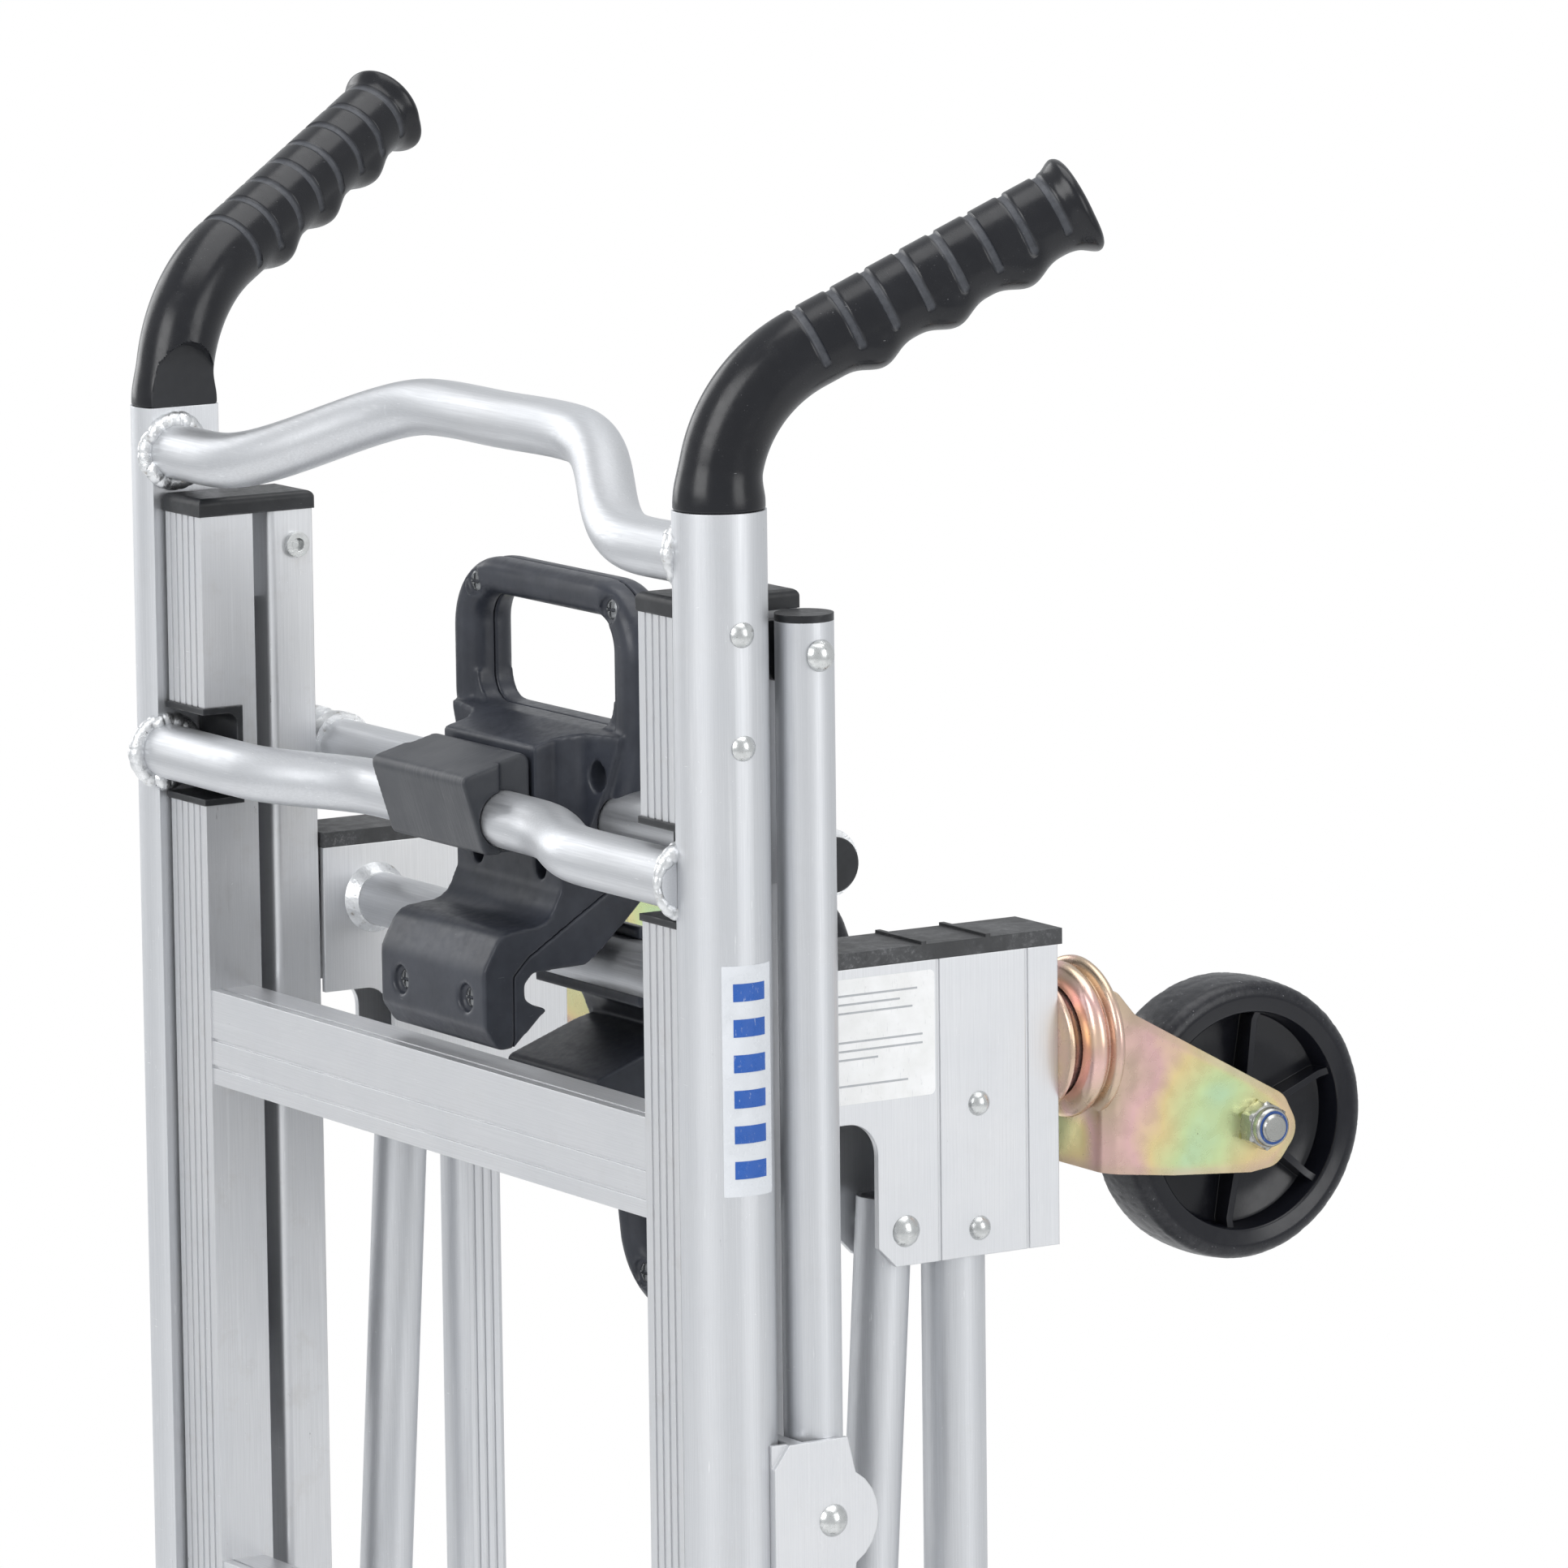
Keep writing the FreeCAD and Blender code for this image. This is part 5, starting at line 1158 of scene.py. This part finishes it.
def add_main_wheels():
    centre = (TYRE_MIDDLE.x, TYRE_MIDDLE.y, TYRE_MIDDLE.z)
    half = (TYRE_HIGH.x - TYRE_LOW.x) / 2
    middle_radius = (TYRE_HIGH.z - TYRE_LOW.z) / 2 - half
    rows = 96
    profile = []
    for k in range(rows + 1):
        turn = math.pi * k / rows
        across = -half * math.cos(turn)
        bulge = half * math.sin(turn)
        rib = 0.5 * (1 - ease(abs(abs(across) - 31.5), 0.4, 0.8))
        profile.append((across, middle_radius + bulge + rib))
    bead_seat = [(half - 3.0, 80.0), (28.5, 73.5), (26.5, 70.0), (26.0, 66.2)]
    profile += bead_seat + [(-x, r) for x, r in reversed(bead_seat)]
    steps = 960

    def cut(along, reach, angle):
        return reach - tread_cut(along, angle) if reach > middle_radius + 10 else reach

    tyre = turned(profile, centre, "x", steps, closed=True, shape=cut)
    lip = [(-28.6, 73.5), (-27.6, 74.6), (-26.4, 74.2), (-25.8, 72.6), (-25.6, 66.4), (0, 65.0), (25.6, 66.4),
           (25.8, 72.6), (26.4, 74.2), (27.6, 74.6), (28.6, 73.5), (28.6, 72.0), (27.6, 70.8), (27.2, 66.0),
           (26.0, 63.4), (22.0, 61.6), (9.0, 60.4), (5.2, 58.6), (3.4, 55.5), (3.0, 46.0), (4.6, 42.0),
           (4.6, 30.0), (3.0, 27.0), (3.0, 20.6), (-0.2, 20.6), (-0.2, 27.0), (1.4, 30.0), (1.4, 42.0),
           (-0.2, 46.0), (0.2, 55.5), (-3.4, 60.4), (-20.0, 61.6), (-26.0, 63.4), (-27.2, 66.0), (-27.6, 70.8),
           (-28.6, 72.0)]
    holes = []
    for k in range(5):
        angle = math.radians(72 * k + 90)
        place = (centre[0], centre[1] + 37 * math.cos(angle), centre[2] + 37 * math.sin(angle))
        holes.append(cylinder(place, "x", -12, 12, 8.0, 32))
    hub = turned([(-36.5, 15.4), (-36.5, 19.4), (-35.9, 20.0), (-4.0, 20.6), (4.0, 21.4), (6.0, 20.6),
                  (35.9, 20.0), (36.5, 19.4), (36.5, 15.4)], centre, "x", 64, closed=True)
    disc = carved(turned(lip, centre, "x", 120, closed=True), cuts=holes)
    rim = carved(disc, adds=[hub])
    for side, sign in SIDES:
        wheel = "main_wheel_" + side
        piece("main_tyre_moulding_" + side, sided(tyre, sign), "tyre", wheel,
              ("main_tyre_" + side,), 40)
        piece("main_wheel_disc_" + side, sided(rim, sign), "rim", wheel,
              ("main_wheel_rim_" + side,), 35)


# ---- labels ----
def wrapped_patch(edge, low, high, radius, thickness):
    """A thin patch on the handle tube's outer side, between the angles -edge and edge."""
    angles = [edge * (k / 8 - 1) for k in range(17)]
    outline = []
    for reach, arc in ((radius, angles), (radius + thickness, reversed(angles))):
        outline += [(HANDLE_X + reach * math.cos(turn), HANDLE_Y + reach * math.sin(turn)) for turn in arc]
    return prism(outline, "z", low, high)


def add_labels():
    """Blank stand-ins for the printed labels: plain stripes and rules only."""
    sticker_low, sticker_high = 856.0, 934.0
    edge = math.radians(36)
    stripe_pitch = 12.0
    stripe_height = 6.0
    panel = wrapped_patch(edge, sticker_low, sticker_high, HANDLE_RADIUS + 0.02, 0.10)
    piece("tube_sticker_right", panel, "clear", "handle_frame")
    stripes = []
    for k in range(6):
        start = sticker_low + stripe_height + stripe_pitch * k
        stripes.append(wrapped_patch(edge * 0.62, start, start + stripe_height, HANDLE_RADIUS + 0.14, 0.06))
    piece("tube_sticker_stripes_right", joined(*stripes), "blue", "handle_frame")
    face_x = BRACKET_HIGH.x
    outline = rounded_outline([(49, 877), (99, 877), (99, 920), (49, 920)], 2)
    piece("bracket_label_right", prism(outline, "x", face_x + 0.02, face_x + 0.16), "label", "caster_frame")
    lines = [cuboid((face_x + 0.15, 54, z), (face_x + 0.20, 54 + width, z + 0.7))
             for z, width in ((914, 38), (911, 31), (908, 36), (898, 40), (895, 40), (892, 22), (883, 34))]
    piece("bracket_label_lines_right", joined(*lines), "ink", "caster_frame")


# ---- stage ----
def studio():
    scene = bpy.context.scene
    world = bpy.data.worlds.new("white_room")
    scene.world = world
    world.use_nodes = True
    nodes = world.node_tree.nodes
    links = world.node_tree.links
    seen = nodes["Background"]
    seen.inputs["Color"].default_value = (1, 1, 1, 1)
    seen.inputs["Strength"].default_value = 1.0
    lit = nodes.new("ShaderNodeBackground")
    lit.inputs["Color"].default_value = (0.96, 0.98, 1.0, 1)
    lit.inputs["Strength"].default_value = 0.71
    path = nodes.new("ShaderNodeLightPath")
    mix = nodes.new("ShaderNodeMixShader")
    links.new(path.outputs["Is Camera Ray"], mix.inputs[0])
    links.new(lit.outputs[0], mix.inputs[1])
    links.new(seen.outputs[0], mix.inputs[2])
    links.new(mix.outputs[0], nodes["World Output"].inputs["Surface"])
    scene.view_settings.view_transform = "Standard"
    scene.view_settings.look = "None"

    def softbox(name, place, size, power):
        data = bpy.data.lights.new(name, "AREA")
        data.shape = "RECTANGLE"
        data.size, data.size_y = size
        data.energy = power
        light = bpy.data.objects.new(name, data)
        scene.collection.objects.link(light)
        light.location = place
        aim = Vector((0, 0.1, 0.9)) - Vector(place)
        light.rotation_euler = aim.to_track_quat("-Z", "Y").to_euler()

    softbox("key", (0.6, -3.0, 2.4), (2.0, 2.0), 55)
    softbox("side", (3.2, 1.2, 1.9), (1.6, 2.2), 30)
    softbox("top", (0.2, 0.3, 3.4), (2.4, 2.4), 40)
    softbox("left", (-3.0, -0.6, 1.8), (1.6, 2.0), 22)

    floor_mesh = bpy.data.meshes.new("floor")
    bm = bmesh.new()
    bmesh.ops.create_circle(bm, cap_ends=True, segments=96, radius=2.5)
    bm.to_mesh(floor_mesh)
    bm.free()
    floor = bpy.data.objects.new("floor", floor_mesh)
    floor.location.z = -0.0005
    scene.collection.objects.link(floor)
    look = Look("pale_floor")
    colour = look.clouded((0.83, 0.83, 0.83), (0.80, 0.80, 0.80), (300, 3), 0.4, 0.6)
    floor_mesh.materials.append(look.finish(colour, 0.7))


def photo_camera():
    """Camera at the reference view: from the front right, a little above the handles."""
    azimuth = math.radians(57.9)
    elevation = math.radians(8.87)
    roll = math.radians(-0.68)
    place = Vector((2.9539, -1.7042, 1.5031))
    back = Vector((math.sin(azimuth) * math.cos(elevation), -math.cos(azimuth) * math.cos(elevation),
                   math.sin(elevation)))
    level = Vector((math.cos(azimuth), math.sin(azimuth), 0))
    upright = back.cross(level)
    right = math.cos(roll) * level + math.sin(roll) * upright
    up = math.cos(roll) * upright - math.sin(roll) * level
    data = bpy.data.cameras.new("reference_view")
    data.lens = 227.6
    data.sensor_width = 36.0
    data.shift_x = 0.0044
    data.shift_y = -0.0047
    data.clip_end = 50.0
    camera = bpy.data.objects.new("reference_view", data)
    bpy.context.scene.collection.objects.link(camera)
    camera.matrix_world = Matrix((
        (right.x, up.x, back.x, place.x),
        (right.y, up.y, back.y, place.y),
        (right.z, up.z, back.z, place.z),
        (0, 0, 0, 1)))
    bpy.context.scene.camera = camera


dress_frame()
add_grips()
add_upper_latch()
add_wedge()
add_lower_latch()
add_welds()
add_casters()
add_main_wheels()
add_labels()
studio()
photo_camera()
